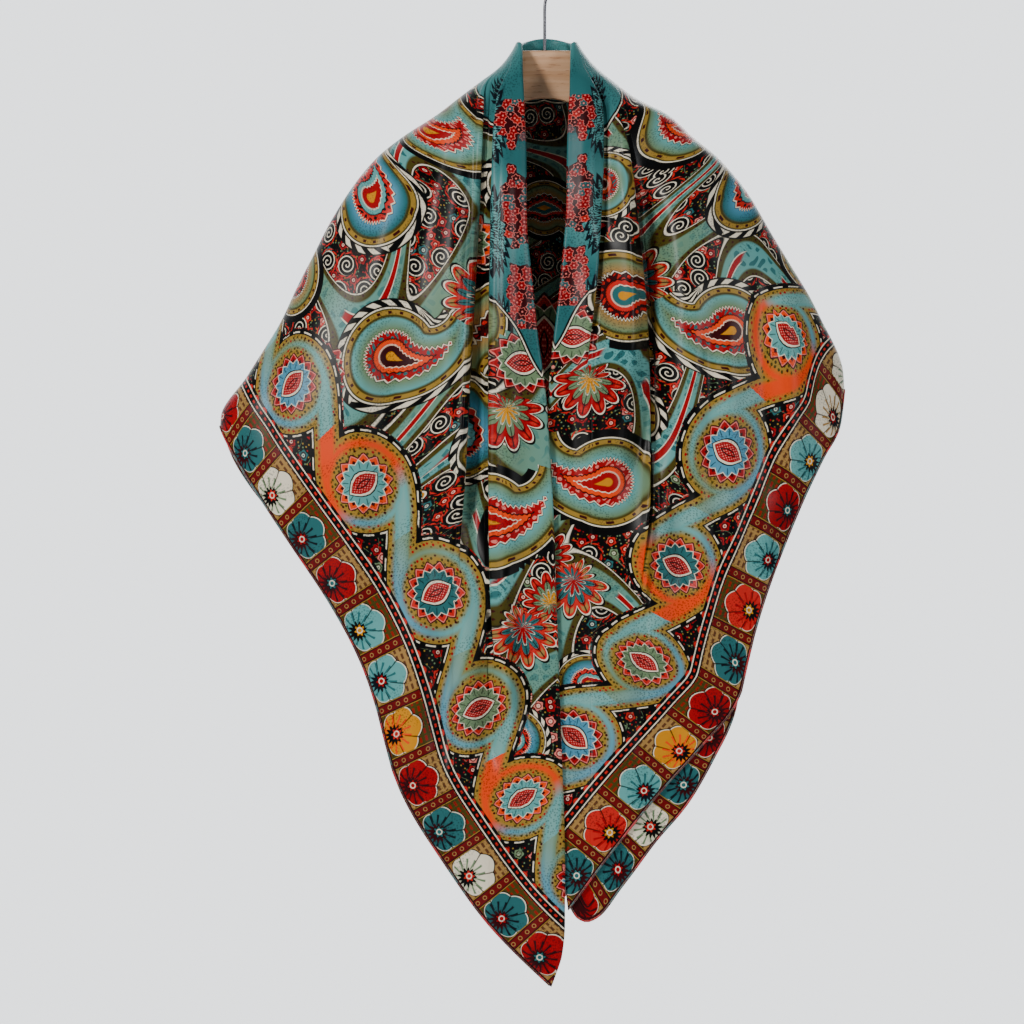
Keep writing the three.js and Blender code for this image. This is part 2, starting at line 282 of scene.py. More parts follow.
HEM = {
    "left": table("x z", [
        (-4, -961), (30, -929), (55, -902), (97, -843), (127, -795), (141, -762), (153, -713),
        (168, -668), (195, -616), (239, -550), (279, -489), (294, -464), (301, -450), (305, -440),
    ]),
    "right": table("x z", [
        (22, -891), (57, -844), (97, -794), (146, -739), (178, -699), (190, -649), (202, -608),
        (223, -553), (239, -515), (258, -476), (273, -449), (280, -404),
    ]),
    "under": table("x z", [
        (19, -878), (24, -892), (30, -900), (38, -903), (48, -899), (70, -872), (104, -827), (132, -794),
        (157, -751), (174, -715), (183, -672), (190, -650),
    ]),
}
BACK_HEM = table("share left right", [
    (0, -905, -905), (0.06, -893, -893), (0.2, -845, -842), (0.35, -780, -775), (0.5, -700, -690),
    (0.65, -612, -605), (0.8, -545, -530), (0.95, -481, -461), (1, -440, -404),
])
SIDE_REACH = {"left": 305.0, "right": 280.0}
LAP = {"top": -385.0, "full": -450.0, "shift": 4.0, "width": 34.0}

# %% [markdown]
# ## The folds
# Each fold is a soft trough or ridge along a line that bends a little on its way down.
# The first rows of each table are the main folds, which the frame's solids have too.
# The later, shallower rows are the creases that satin takes between them.
# A lip is a knife fold: the cloth doubles back under itself and hides some of its width. Over is 1 where
# the part nearer the front edge lies on top and -1 where the outer part does.

# %% Tables of the folds
FOLDS = {
    "left": table("top low x0 x1 x2 width depth", [
        (-112, -700, 37, 36, 30, 12, 6), (-170, -600, 60, 62, 68, 12, -18),
        (-200, -560, 82, 84, 96, 16, 5), (-600, -775, 92, 96, 99, 10, -8),
        (-630, -775, 52, 52, 50, 9, -8), (-600, -740, 27, 26, 14, 8, -10),
        (-240, -560, 190, 205, 215, 60, 8), (-300, -640, 138, 140, 140, 28, -8),
        (-140, -420, 24, 22, 14, 5, 2.0), (-150, -600, 50, 49, 52, 4.5, 4.5),
        (-560, -800, 75, 74, 70, 12, 5), (-560, -760, 38, 38, 30, 8, 4.5),
        (-590, -790, 112, 118, 118, 11, 4), (-380, -640, 104, 110, 106, 12, -7),
        (-340, -640, 165, 174, 176, 16, 6), (-320, -480, 232, 250, 256, 16, -5),
        (-160, -340, 84, 110, 122, 13, -5), (-170, -360, 118, 150, 160, 15, 5),
        (-780, -930, 20, 22, 14, 12, -3), (-800, -900, 64, 60, 48, 12, 3),
    ]),
    "right": table("top low x0 x1 x2 width depth", [
        (-108, -280, 39, 37, 32, 11, 5), (-130, -300, 58, 58, 55, 9, -7),
        (-170, -560, 88, 114, 76, 15, -25), (-190, -500, 128, 140, 132, 20, 7),
        (-320, -620, 153, 152, 158, 9, -6), (-320, -640, 168, 167, 178, 12, 6),
        (-490, -610, 122, 126, 130, 9, -8), (-480, -660, 146, 146, 150, 14, 6),
        (-490, -600, 236, 232, 214, 13, -7), (-560, -820, 60, 66, 60, 26, 5),
        (-200, -420, 72, 84, 84, 7, 5.0), (-270, -520, 40, 46, 44, 12, 3.5),
        (-300, -560, 24, 26, 26, 8, -2.5), (-280, -520, 200, 206, 206, 12, -6),
        (-300, -560, 222, 228, 226, 13, 5), (-460, -700, 100, 104, 100, 13, 6),
        (-600, -760, 90, 92, 84, 8, -3), (-620, -800, 30, 32, 36, 10, -3),
        (-640, -800, 128, 126, 112, 10, -3), (-150, -340, 92, 130, 146, 13, -5),
        (-500, -590, 200, 204, 198, 10, 4), (-320, -450, 246, 258, 262, 12, -4),
    ]),
    "back": table("top low x0 x1 x2 width depth", [
        (-170, -640, -60, -90, -110, 30, 7), (-200, -700, -20, -40, -52, 22, -6),
        (-170, -640, 66, 96, 112, 30, 7), (-210, -720, 24, 42, 50, 22, -6),
        (-260, -560, -170, -200, -210, 30, -7), (-260, -560, 165, 188, 200, 30, -7),
        (-330, -820, 2, 0, -4, 18, 6), (-150, -420, -30, -46, -60, 9, -3),
        (-160, -460, 34, 52, 66, 10, -3), (-300, -620, -130, -150, -154, 13, 3.5),
        (-320, -640, 124, 142, 150, 13, 3.5), (-420, -760, -70, -78, -74, 12, -3.5),
        (-440, -780, 70, 80, 72, 12, -3.5), (-380, -560, -232, -240, -232, 14, -3),
        (-380, -540, 222, 232, 226, 14, -3),
    ]),
}
FOLD_FADE = 0.25

LIPS = {
    "left": table("top low x0 x1 x2 over hidden", [
        (-104, -700, 44, 57, 47, 1, 70), (-110, -600, 55, 68, 80, -1, 80),
    ]),
    "right": table("top low x0 x1 x2 over hidden", [
        (-104, -420, 56, 54, 36, 1, 50), (-150, -620, 68, 117, 86, 1, 110),
    ]),
}
print("folds:", {face: len(rows["top"]) for face, rows in FOLDS.items()})

# %% [markdown]
# ## From tables to points
# A smooth curve is drawn through each table, and a point of the cloth is found from its side, its angle
# round the section and its height. Folds push it along the section's outward direction.
# Faint slow ripples are added last, because pressed silk is never quite even.


# %% Points of the cloth
def smooth_at(rows, source, target, at):
    order = np.argsort(rows[source])
    xs = rows[source][order]
    ys = rows[target][order]
    step = np.diff(xs)
    slope = np.diff(ys) / step
    before, after = slope[:-1], slope[1:]
    same_way = before * after > 0
    tangent = np.concatenate(([slope[0]], np.zeros(len(before)), [slope[-1]]))
    tangent[1:-1][same_way] = (2 * before * after)[same_way] / (before + after)[same_way]
    at = np.clip(at, xs[0], xs[-1])
    i = np.clip(np.searchsorted(xs, at, side="right") - 1, 0, len(step) - 1)
    t = (at - xs[i]) / step[i]
    value = ys[i] * (1 + 2 * t) * (1 - t) ** 2 + ys[i + 1] * t * t * (3 - 2 * t)
    return value + step[i] * (tangent[i] * t * (1 - t) ** 2 + tangent[i + 1] * t * t * (t - 1))


def ease(value):
    value = np.clip(value, 0, 1)
    return value * value * (3 - 2 * value)


def fold_lift(folds, x, z):
    lift = np.zeros_like(x)
    for top, low, x0, x1, x2, width, depth in zip(*folds.values()):
        along = np.clip((top - z) / (top - low), 0, 1)
        line = x0 * (1 - along) ** 2 + 2 * x1 * along * (1 - along) + x2 * along**2
        fade = ease(along / FOLD_FADE) * ease((1 - along) / FOLD_FADE)
        lift += depth * fade * np.exp(-(((x - line) / width) ** 2))
    return lift


def ripples(x, z):
    """Slow uneven waves that run mostly down the cloth, in millimetres."""
    slow = 0.8 * np.sin(x / 17 + 1.3 * np.sin(z / 96)) * np.sin(z / 140 + x / 60)
    quick = 0.45 * np.sin(x / 7.3 + 2 * np.sin(z / 70 + x / 40)) * np.sin(z / 90 + 0.6)
    slanting = 0.7 * np.sin((x * 0.6 + z) / 24 + 1.2 * np.sin(x / 45))
    return slow + quick + slanting


def cloth_point(side, angle, z, extra=0.0):
    """Points of the outer face, in millimetres. The angle is 0 at the front, a half turn at the back."""
    sign = -1 if side == "left" else 1
    sine, cosine = np.sin(angle), np.cos(angle)
    width = smooth_at(LEVELS, "z", side, z)
    is_front = cosine >= 0
    depth = np.where(is_front, smooth_at(LEVELS, "z", "front", z), smooth_at(LEVELS, "z", "back", z))
    away = width * np.sign(sine) * np.abs(sine) ** (2 / ROUNDNESS)
    x = sign * away
    y = -depth * np.sign(cosine) * np.abs(cosine) ** (2 / ROUNDNESS)
    front_lift = fold_lift(FOLDS[side], away, z)
    lift = np.where(is_front, front_lift + extra, fold_lift(FOLDS["back"], x, z)) * np.sqrt(np.abs(cosine))
    settled = ease((-150 - z) / 120)
    lift = lift + ripples(x + 400 * is_front, z) * settled * (0.35 + 0.65 * np.abs(cosine))
    beside = np.abs(cosine) ** (2 / ROUNDNESS) * depth
    lift = lift - 5.0 * np.exp(-((beside / 9.0) ** 2)) * ease((-190 - z) / 120)
    lean = ROUNDNESS - 2
    out_x = sign * sine * np.abs(sine) ** lean / width
    out_y = -cosine * np.abs(cosine) ** lean / depth
    length = np.hypot(out_x, out_y)
    near_lap = ease(1 - np.abs(x) / LAP["width"]) * ease((LAP["top"] - z) / (LAP["top"] - LAP["full"]))
    shift = near_lap * is_front * LAP["shift"] * sign
    return np.stack([x + out_x / length * lift, y + out_y / length * lift + shift, z], axis=-1)


def angle_of_share(share):
    return np.arcsin(np.sign(share) * np.minimum(1, np.abs(share)) ** (ROUNDNESS / 2))


def hem_height(hem, x):
    away = np.abs(x) if hem != "left" else -x
    return smooth_at(HEM[hem], "x", "z", away)


print("shoulder on the left:", np.round(cloth_point("left", np.array(math.pi / 2), np.array(-300.0)), 1))

# %% [markdown]
# ## A knife fold in section
# Seen from above, a knife fold is a flat Z: the top layer turns back at the lip, runs under itself, turns
# again and goes on. Eleven columns follow that Z. Where the fold fades out at its two ends the same
# columns lie side by side in one plane, so the grid never changes.
# The last column of numbers is the share of the hidden width that has been passed at each column.

# %% Sections of the lips
LIP_SECTION = np.array([
    (-5.0, 3.8, 0), (-1.6, 4.4, 0), (0.6, 4.1, 0), (1.6, 3.0, 0.02), (0.9, 1.7, 0.10), (-1.5, 1.0, 0.25),
    (-6.5, 0.0, 0.50), (-8.6, -1.0, 0.70), (-7.2, -2.2, 0.85), (-2.0, -2.4, 0.97), (5.0, -1.2, 1),
])
LIP_REACH = 5.0
SEGMENTS = (20, 14, 48)


def soft_least(a, b):
    return a * b / (a**4 + b**4) ** 0.25


def lip_line(lips, i, z):
    top, low = lips["top"][i], lips["low"][i]
    along = np.clip((top - z) / (top - low), 0, 1)
    x = lips["x0"][i] * (1 - along) ** 2 + 2 * lips["x1"][i] * along * (1 - along) + lips["x2"][i] * along**2
    strength = ease((top - z) / 45) * ease((z - low) / 110)
    hidden = lips["hidden"][i] * ease((top - z) / 150) * ease((z - low) / 260)
    return x, strength, hidden


def column_plan():
    """One row a column: the stretch it lies in, its share of that stretch, and its number in a lip or -1."""
    plan = []
    for part, steps in enumerate(SEGMENTS):
        if part < 2:
            plan += [(part, i / steps, -1) for i in range(steps)]
            plan += [(part, 0.0, i) for i in range(len(LIP_SECTION))]
        else:
            plan += [(part, math.sin(math.pi / 2 * i / steps), -1) for i in range(steps + 1)]
    return plan


PLAN = column_plan()
FRONT_COUNT = len(PLAN)


def front_columns(side, z):
    """For each front column at its heights: width of silk from the edge, place, lift and hidden width."""
    edge = smooth_at(EDGE[side], "z", "x", z)
    width = smooth_at(LEVELS, "z", side, z)
    room = width - edge
    lips = LIPS[side]
    lines, strengths, amounts = zip(*(lip_line(lips, i, z) for i in (0, 1)))
    first = edge + soft_least(lines[0] - edge, room * 0.45)
    second = first + soft_least(lines[1] - first, room * 0.40)
    reach = soft_least(np.full_like(z, LIP_REACH), room * 0.08)
    middles = (first, second)
    starts = (edge, first + reach, second + reach)
    ends = (first - reach, second - reach, width)
    flat_x, moved_x, lift, hidden = (np.zeros_like(z) for _ in range(4))
    for c, (part, share, i) in enumerate(PLAN):
        passed_by = sum(amounts[k][c] for k in range(part))
        if i < 0:
            flat_x[c] = starts[part][c] + (ends[part][c] - starts[part][c]) * share
            moved_x[c] = flat_x[c]
            hidden[c] = passed_by
            continue
        section = LIP_SECTION
        if lips["over"][part] < 0:
            section = LIP_SECTION[::-1] * (-1, 1, -1) + (0, 0, 1)
        shift, rise, passed = section[i]
        strength = strengths[part][c] * reach[c] / LIP_REACH
        plain = reach[c] * (2 * i / (len(section) - 1) - 1)
        flat_x[c] = middles[part][c] + plain
        moved_x[c] = middles[part][c] + plain + (shift - plain) * strength
        lift[c] = rise * strength
        hidden[c] = passed_by + amounts[part][c] * passed
    is_plain = np.array([i < 0 for _, _, i in PLAN]).reshape((-1,) + (1,) * (z.ndim - 1))
    for k in (0, 1):
        away = moved_x - middles[k]
        top_side = away * lips["over"][k] < 0
        fade = np.exp(-(((np.abs(away) - LIP_REACH) / 16) ** 2))
        lift += is_plain * strengths[k] * reach / LIP_REACH * np.where(top_side, 3.8, -1.2) * fade
    return flat_x - edge, moved_x, lift, hidden


# %% [markdown]
# ## One continuous sheet
# The frame splits the cloth where its stretches meet, but real silk has no seam there.
# So one grid of columns runs from the left fall's folded edge, round the left shoulder, across the back
# and round the right shoulder to the right fall's folded edge. Each column is cut off at its own
# height by the hem.

# %% Columns and rows
BACK_COLUMNS = 42
ROWS = 134
COLUMNS = FRONT_COUNT + BACK_COLUMNS
back_places = np.sin(np.pi / 2 * np.arange(BACK_COLUMNS - 1, -1, -1) / BACK_COLUMNS)
is_front_column = np.arange(COLUMNS) < FRONT_COUNT


def half_sheet(side):
    """Columns of one side, from its folded edge to the centre back, with their places on the silk."""
    def shape(z):
        beyond = ((0, BACK_COLUMNS),) + ((0, 0),) * (z.ndim - 1)
        across, moved, lift, hidden = (np.pad(a, beyond) for a in front_columns(side, z[:FRONT_COUNT]))
        tall = (-1,) + (1,) * (z.ndim - 1)
        share = np.pad(back_places, (FRONT_COUNT, 0)).reshape(tall)
        front = angle_of_share(moved / smooth_at(LEVELS, "z", side, z))
        angle = np.where(is_front_column.reshape(tall), front, np.pi - angle_of_share(share))
        return cloth_point(side, angle, z, lift), angle, across, hidden

    def hem_at(x):
        back = smooth_at(BACK_HEM, "share", side, np.abs(x) / SIDE_REACH[side])
        return np.where(is_front_column, hem_height(side, x), back)

    high = np.full(COLUMNS, NECK_TOP)
    low = np.full(COLUMNS, LOWEST)
    for _ in range(30):
        z = (high + low) / 2
        is_above = z > hem_at(shape(z)[0][..., 0])
        high = np.where(is_above, z, high)
        low = np.where(is_above, low, z)
    place = np.concatenate([np.ones(FRONT_COUNT), back_places])
    top = NECK_TOP + NAPE_RISE * (1 - place**2)
    z = top[:, None] + ((high + low) / 2 - top)[:, None] * np.linspace(0, 1, ROWS + 1)
    return (z,) + shape(z)


# %% [markdown]
# ## Where each point lies on the flat square
# The print belongs to the flat square, so each point needs its place there: s along the folded edge
# from the nape, and t down from that edge. On a fall s grows downwards and t outwards. On the back it is
# the other way round, and t runs a little faster towards the shoulders, where the cloth hangs aslant.
# Each lip hides a width of cloth, so t jumps ahead behind it.
# The border follows the hem, so it needs two more numbers: the distance from the hem, and how far along
# it the nearest place is. The second is taken from an eased copy of the hem, which has no tight bends.
# Front and back each carry on in their own direction to the side, where a deep crease parts them.

# %% Places on the square
SQUARE = 1.350
HALF_DIAGONAL = SQUARE / math.sqrt(2)
NECK_ARC = 0.065
TIP = {"left": -961.0, "right": -891.0}
NAPE_DROP = 821.0


def flat_places(side, z, angle, across, hidden):
    """Places s and t on the square, and the distance round the section from the front or back middle."""
    along_fall = (HALF_DIAGONAL - NECK_ARC) / (NECK_TOP - TIP[side])
    s_front = NECK_ARC + (NECK_TOP - z) * along_fall
    is_front = is_front_column[:, None]
    depth = smooth_at(LEVELS, "z", "front", z)
    turn = 1 - np.abs(np.cos(angle)) ** (2 / ROUNDNESS)
    t_front = (across + hidden + 0.6 * depth * turn) * MM
    share = np.where(is_front, 1, np.abs(np.sin(angle)) ** (2 / ROUNDNESS))
    t_centre = np.maximum(NECK_TOP + NAPE_RISE - z, 0) * HALF_DIAGONAL / NAPE_DROP
    t_back = t_centre * (1 + 0.28 * share**2)
    edge = smooth_at(EDGE[side], "z", "x", z)
    round_front = edge + across + 0.6 * depth * turn
    round_back = smooth_at(LEVELS, "z", side, z) * share + 0.6 * depth * turn
    return s_front * share, np.where(is_front, t_front, t_back), np.where(is_front, round_front, round_back)


def eased_line(line, spread):
    """The same line with its small bends taken out, its two ends kept."""
    steps = np.linalg.norm(np.diff(line, axis=0), axis=1)
    run = np.concatenate([[0], np.cumsum(steps)])
    even = np.arange(0, run[-1], 5.0)
    line = np.stack([np.interp(even, run, part) for part in line.T], axis=1)
    width = int(3 * spread / 5)
    weights = np.exp(-((np.arange(-width, width + 1) * 5.0 / spread) ** 2) / 2)
    before = 2 * line[0] - line[width:0:-1]
    after = 2 * line[-1] - line[-2:-width - 2:-1]
    padded = np.concatenate([before, line, after])
    return np.stack([np.convolve(part, weights / weights.sum(), "valid") for part in padded.T], axis=1)


def nearest_on(points, line):
    """For each point its distance from a line and how far along the line that is, in metres."""
    flat = points.reshape(-1, points.shape[-1])
    best = np.full(len(flat), np.inf)
    where = np.zeros(len(flat))
    start = 0.0
    for a, b in zip(line[:-1], line[1:]):
        step = b - a
        share = np.clip((flat - a) @ step / (step @ step + 1e-12), 0, 1)
        gap = flat - a - share[:, None] * step
        square = np.einsum("ij,ij->i", gap, gap)
        length = np.sqrt(step @ step)
        where = np.where(square < best, start + share * length, where)
        best = np.minimum(best, square)
        start += length
    return np.sqrt(best).reshape(points.shape[:-1]) * MM, where.reshape(points.shape[:-1]) * MM


def lengthened(line, before, after):
    """The line with straight ends added, each in the direction of its last 60 mm."""
    def ray(ends, length):
        run = np.cumsum(np.linalg.norm(np.diff(ends, axis=0), axis=1))
        other = ends[1 + min(int(np.searchsorted(run, 60.0)), len(run) - 1)]
        way = (ends[0] - other) / np.linalg.norm(ends[0] - other)
        return ends[0] + way * length
    return np.concatenate([[ray(line, before)], line, [ray(line[::-1], after)]])


def to_hem(places, line, before, after):
    """Distance from the hem and place along it, measured in one plane: round the section and down."""
    hem = nearest_on(places, lengthened(eased_line(line, 6.0), before, after))[0]
    along = nearest_on(places, lengthened(eased_line(line, 75.0), before, after))[1]
    return hem, along - before * MM


halves = {}
for side in ("left", "right"):
    z, points, angle, across, hidden = half_sheet(side)
    s, t, around = flat_places(side, z, angle, across, hidden)
    places = np.stack([around, z], axis=-1)
    front, back = places[:FRONT_COUNT], places[FRONT_COUNT - 1:]
    back = back.copy()
    back[0, :, 0] = np.interp(back[0, :, 1], z[FRONT_COUNT][::-1], around[FRONT_COUNT][::-1]) + 4.0
    hem_front, along_front = to_hem(front, front[:, -1], 5.0, 250.0)
    hem_back, along_back = to_hem(back, back[:, -1], 250.0, 60.0)
    hem = np.concatenate([hem_front, hem_back[1:]])
    along = np.concatenate([along_front, along_back[1:] + along_front[-1, -1]])
    halves[side] = (points, s, t, hem, along)
    hem_length = round(float(along.max()), 3)
    print(side, "half:", points.shape[:2], "t up to", round(float(t.max()), 3), "hem", hem_length)

# %% [markdown]
# ## Joining the halves and rolling the fold
# The two halves share the centre back column, so they are set side by side in one grid.
# Where the square is folded the silk doesn't end in a knife edge: it rolls over a small radius and
# comes back inside. A few more columns and rows follow that roll.


# %% The whole sheet
def grid_normals(points):
    """Outward directions of a grid whose columns run from the viewer's left to right on the front."""
    across = np.gradient(points, axis=0)
    down = np.gradient(points, axis=1)
    normal = np.cross(down, across)
    if normal[20, 20, 1] > 0:
        normal = -normal
    return normal / (np.linalg.norm(normal, axis=-1, keepdims=True) + 1e-12)


def rolled(grids, axis, taper):
    """Adds a rolled edge in front of the first line of the grids, smaller near that line's two ends."""
    steps = np.arange(grids[0].shape[1 - axis])
    radius = 2.5 * ease((np.minimum(steps, steps[::-1]) + 1) / taper)[:, None]
    turns = np.radians([180, 150, 120, 90, 60, 30])
    inside = (9.0, 4.0)
    points, s, t, hem, along = (np.moveaxis(a, axis, 0) for a in grids)
    normal = np.moveaxis(grid_normals(grids[0]), axis, 0)[0]
    outward = points[0] - points[1]
    outward -= normal * np.sum(outward * normal, axis=-1, keepdims=True)
    outward /= np.linalg.norm(outward, axis=-1, keepdims=True) + 1e-12
    lines = [points[0] - 2 * radius * normal - outward * d for d in inside]
    lines += [points[0] + radius * (np.sin(a) * outward + (np.cos(a) - 1) * normal) for a in turns]
    lengths = [radius[:, 0] * math.pi + d for d in inside] + [radius[:, 0] * a for a in turns]
    points = np.concatenate([np.array(lines), points])
    t = np.concatenate([np.array([t[0] - d * MM for d in lengths]), t])
    s, hem, along = (np.concatenate([np.repeat(a[:1], len(lines), axis=0), a]) for a in (s, hem, along))
    return tuple(np.moveaxis(a, 0, axis) for a in (points, s, t, hem, along))


def flipped(grids):
    return tuple(a[::-1] for a in grids)


left, right = halves["left"], halves["right"]
left = (left[0], -left[1]) + left[2:]
right = right[:4] + (2 * left[4].max() - right[4],)
whole = tuple(np.concatenate([a, b[::-1][1:]]) for a, b in zip(left, right))
whole = rolled(whole, 0, 1)
whole = flipped(rolled(flipped(whole), 0, 1))
points, s, t, hem, along = rolled(whole, 1, 18)
print("whole grid:", points.shape[:2])

# %% [markdown]
# ## Motifs of the field
# Inside the border the print has large curved drops, called boteh or paisley, fans of petals and round
# rosettes. Their layout is our own: a short table places them on one half of the square, and the other
# half mirrors it. Each face of the cloth is given to the nearest motif, and stores its own place
# measured from that motif's centre, so one drawing in the material serves them all.
# A row is kind (0 boteh, 1 fan, 2 rosette), s, t, turn in degrees, size, palette.

# %% Motif table
MOTIFS = np.array([
    (0, 0.150, 0.165, 200, 0.040, 0), (0, 0.215, 0.300, 150, 0.045, 1), (0, 0.290, 0.400, 20, 0.034, 2),
    (0, 0.365, 0.285, 200, 0.044, 3), (1, 0.105, 0.250, 120, 0.032, 0), (1, 0.300, 0.205, 60, 0.030, 2),
    (0, 0.140, 0.345, 70, 0.029, 3), (1, 0.215, 0.435, 200, 0.030, 1), (0, 0.075, 0.430, 170, 0.040, 0),
    (0, 0.330, 0.072, 10, 0.045, 2), (1, 0.430, 0.035, 270, 0.029, 0), (0, 0.520, 0.060, 190, 0.044, 0),
    (0, 0.440, 0.150, 100, 0.040, 1), (1, 0.510, 0.215, 150, 0.030, 3), (0, 0.600, 0.118, 330, 0.033, 3),
    (1, 0.635, 0.030, 270, 0.028, 2), (0, 0.725, 0.042, 10, 0.028, 1), (0, 0.215, 0.068, 185, 0.032, 3),
    (0, 0.060, 0.600, 180, 0.042, 2), (1, 0.000, 0.500, 90, 0.034, 1), (2, 0.000, 0.330, 0, 0.046, 0),
    (0, 0.070, 0.240, 10, 0.032, 1), (1, 0.000, 0.690, 90, 0.028, 3), (2, 0.385, 0.355, 0, 0.028, 1),
    (2, 0.372, 0.016, 0, 0.024, 1), (1, 0.585, 0.004, 90, 0.022, 0), (0, 0.160, 0.540, 300, 0.029, 0),
    (0, 0.000, 0.180, 90, 0.029, 2), (2, 0.255, 0.130, 0, 0.025, 2),
])


def motif_places(s_corners, t_corners):
    """For each face: its corners' places in the nearest motif, and that motif's kind and palette."""
    s_mid, t_mid = s_corners.mean(axis=1), t_corners.mean(axis=1)
    best = np.full(len(s_mid), np.inf)
    local = np.zeros(s_corners.shape + (2,))
    kind = np.zeros(len(s_mid))
    palette = np.zeros(len(s_mid))
    for mirror in (-1, 1):
        for row in MOTIFS:
            turn, size = math.radians(row[3]), row[4]
            middle = np.array([0.35 * math.cos(turn + 1.1), 0.35 * math.sin(turn + 1.1)]) * size
            gap_s = mirror * s_mid - row[1] - middle[0]
            gap_t = t_mid - row[2] - middle[1]
            distance = np.hypot(gap_s, gap_t) / size
            nearer = distance < best
            best[nearer] = distance[nearer]
            along = (mirror * s_corners[nearer] - row[1]) / size
            down = (t_corners[nearer] - row[2]) / size
            local[nearer, :, 0] = along * math.cos(turn) + down * math.sin(turn)
            local[nearer, :, 1] = down * math.cos(turn) - along * math.sin(turn)
            kind[nearer] = row[0]
            palette[nearer] = row[5]
    return local, kind, palette


print("motifs on each half:", len(MOTIFS))

# %% [markdown]
# ## Making a mesh from a grid
# A grid of points becomes faces of four corners. Three maps go with it: "square" holds the place on the
# flat silk, "border" the distance from the hem and the place along it, and "motif" the place inside
# the nearest motif. Kind and palette are numbers stored on each corner.


# %% Mesh from a grid
def grid_faces(columns, rows):
    corner = np.arange(columns * rows).reshape(columns, rows)
    faces = [corner[:-1, :-1], corner[:-1, 1:], corner[1:, 1:], corner[1:, :-1]]
    return np.stack([f.ravel() for f in faces], axis=1)


def cloth_mesh(name, points, s, t, hem, along):
    faces = grid_faces(*points.shape[:2])
    if np.cross(points[20, 21] - points[20, 20], points[21, 20] - points[20, 20])[1] > 0:
        faces = faces[:, ::-1]
    mesh = bpy.data.meshes.new(name)
    mesh.from_pydata((points.reshape(-1, 3) * MM).tolist(), [], faces.tolist())
    s_corners, t_corners = s.ravel()[faces], np.abs(t).ravel()[faces]
    hem_corners, along_corners = hem.ravel()[faces], along.ravel()[faces]
    jumps = np.ptp(along_corners, axis=1) > 0.08
    along_corners[jumps] = along_corners[jumps][:, :1]
    local, kind, palette = motif_places(s_corners, t_corners)
    maps = {
        "square": np.stack([s_corners, t_corners], axis=-1),
        "border": np.stack([along_corners, hem_corners], axis=-1),
        "motif": local,
    }
    for map_name, values in maps.items():
        layer = mesh.uv_layers.new(name=map_name)
        layer.uv.foreach_set("vector", values.reshape(-1).astype(np.float32))
    for attribute, values in (("kind", kind), ("palette", palette)):
        layer = mesh.attributes.new(attribute, "FLOAT", "CORNER")
        layer.data.foreach_set("value", np.repeat(values, 4).astype(np.float32))
    mesh.shade_smooth()
    mesh.update()
    piece = bpy.data.objects.new(name, mesh)
    bpy.context.scene.collection.objects.link(piece)
    return piece


scarf = cloth_mesh("scarf_silk", points, s, t, hem, along)
print("faces of the sheet:", len(scarf.data.polygons))

# %% [markdown]
# ## The under layer
# The square is folded in two, so a second layer hangs behind the first. On the right fall it has slipped
# and shows below the upper layer's hem as a second row of border flowers. It is made as a strip from
# the same surface, set a little further in.

# %% Strip of the under layer
UNDER_LAP = 55.0
UNDER_REACH = 186.0
UNDER_INSET = 3.0
UNDER_ROWS = 34

under_places = np.linspace(0, UNDER_REACH / SIDE_REACH["right"], 76)


def under_angle(z):
    place = under_places.reshape((-1,) + (1,) * (np.ndim(z) - 1))
    edge_share = smooth_at(EDGE["right"], "z", "x", z) / smooth_at(LEVELS, "z", "right", z)
    return angle_of_share(edge_share + (1 - edge_share) * place)


def crossing(hem_name):
    """The height at which each column of the strip meets a hem, by halving the range again and again."""
    high = np.full(len(under_places), NECK_TOP)
    low = np.full(len(under_places), LOWEST)
    for _ in range(30):
        z = (high + low) / 2
        is_above = z > hem_height(hem_name, cloth_point("right", under_angle(z), z)[..., 0])
        high = np.where(is_above, z, high)
        low = np.where(is_above, low, z)
    return (high + low) / 2


top_hem, low_hem = crossing("right"), crossing("under")
start = (top_hem + UNDER_LAP)[:, None]
heights = start + (low_hem[:, None] - start) * np.linspace(0, 1, UNDER_ROWS)
under_points = cloth_point("right", under_angle(heights), heights)
under_points = under_points - grid_normals(under_points) * UNDER_INSET
under_places_mm = np.stack([under_points[..., 0], heights], axis=-1)
hem, along = to_hem(under_places_mm, under_places_mm[:, -1], 5.0, 120.0)
along += 0.021
s = HALF_DIAGONAL - (along + hem) / math.sqrt(2)
t = (along - hem) / math.sqrt(2)
under_silk = cloth_mesh("under_silk", under_points, s, t, hem, along)
print("faces of the under layer:", len(under_silk.data.polygons))

# %% [markdown]
# ## The printed silk
# The print is drawn by sums on the maps above, from the ground up: small flowers on near-black,
# the motifs, the scroll of ribbon and rosettes, the guard stripe and the row of border flowers.
# Each colour is one that an acid dye gives on silk.

# %% Dye colours
TEAL = srgb(58, 116, 118)
AQUA = srgb(112, 172, 170)
SKY = srgb(94, 154, 178)
SAGE = srgb(122, 144, 112)
OLIVE = srgb(88, 80, 34)
GOLD = srgb(168, 138, 66)
SAND = srgb(172, 138, 86)
CREAM = srgb(238, 228, 206)
CRIMSON = srgb(170, 10, 32)
CORAL = srgb(206, 52, 46)
ORANGE = srgb(236, 84, 18)
MUSTARD = srgb(214, 150, 24)
BURGUNDY = srgb(72, 8, 22)
INK = srgb(6, 4, 6)
PINK = srgb(232, 136, 126)
NAVY = srgb(20, 34, 44)


def uv_map(tree, name):
    node = tree.nodes.new("ShaderNodeUVMap")
    node.uv_map = name
    split = tree.nodes.new("ShaderNodeSeparateXYZ")
    tree.links.new(node.outputs[0], split.inputs[0])
    return Field(tree, split.outputs[0]), Field(tree, split.outputs[1])


def number(tree, name):
    node = tree.nodes.new("ShaderNodeAttribute")
    node.attribute_name = name
    return Field(tree, node.outputs["Fac"])


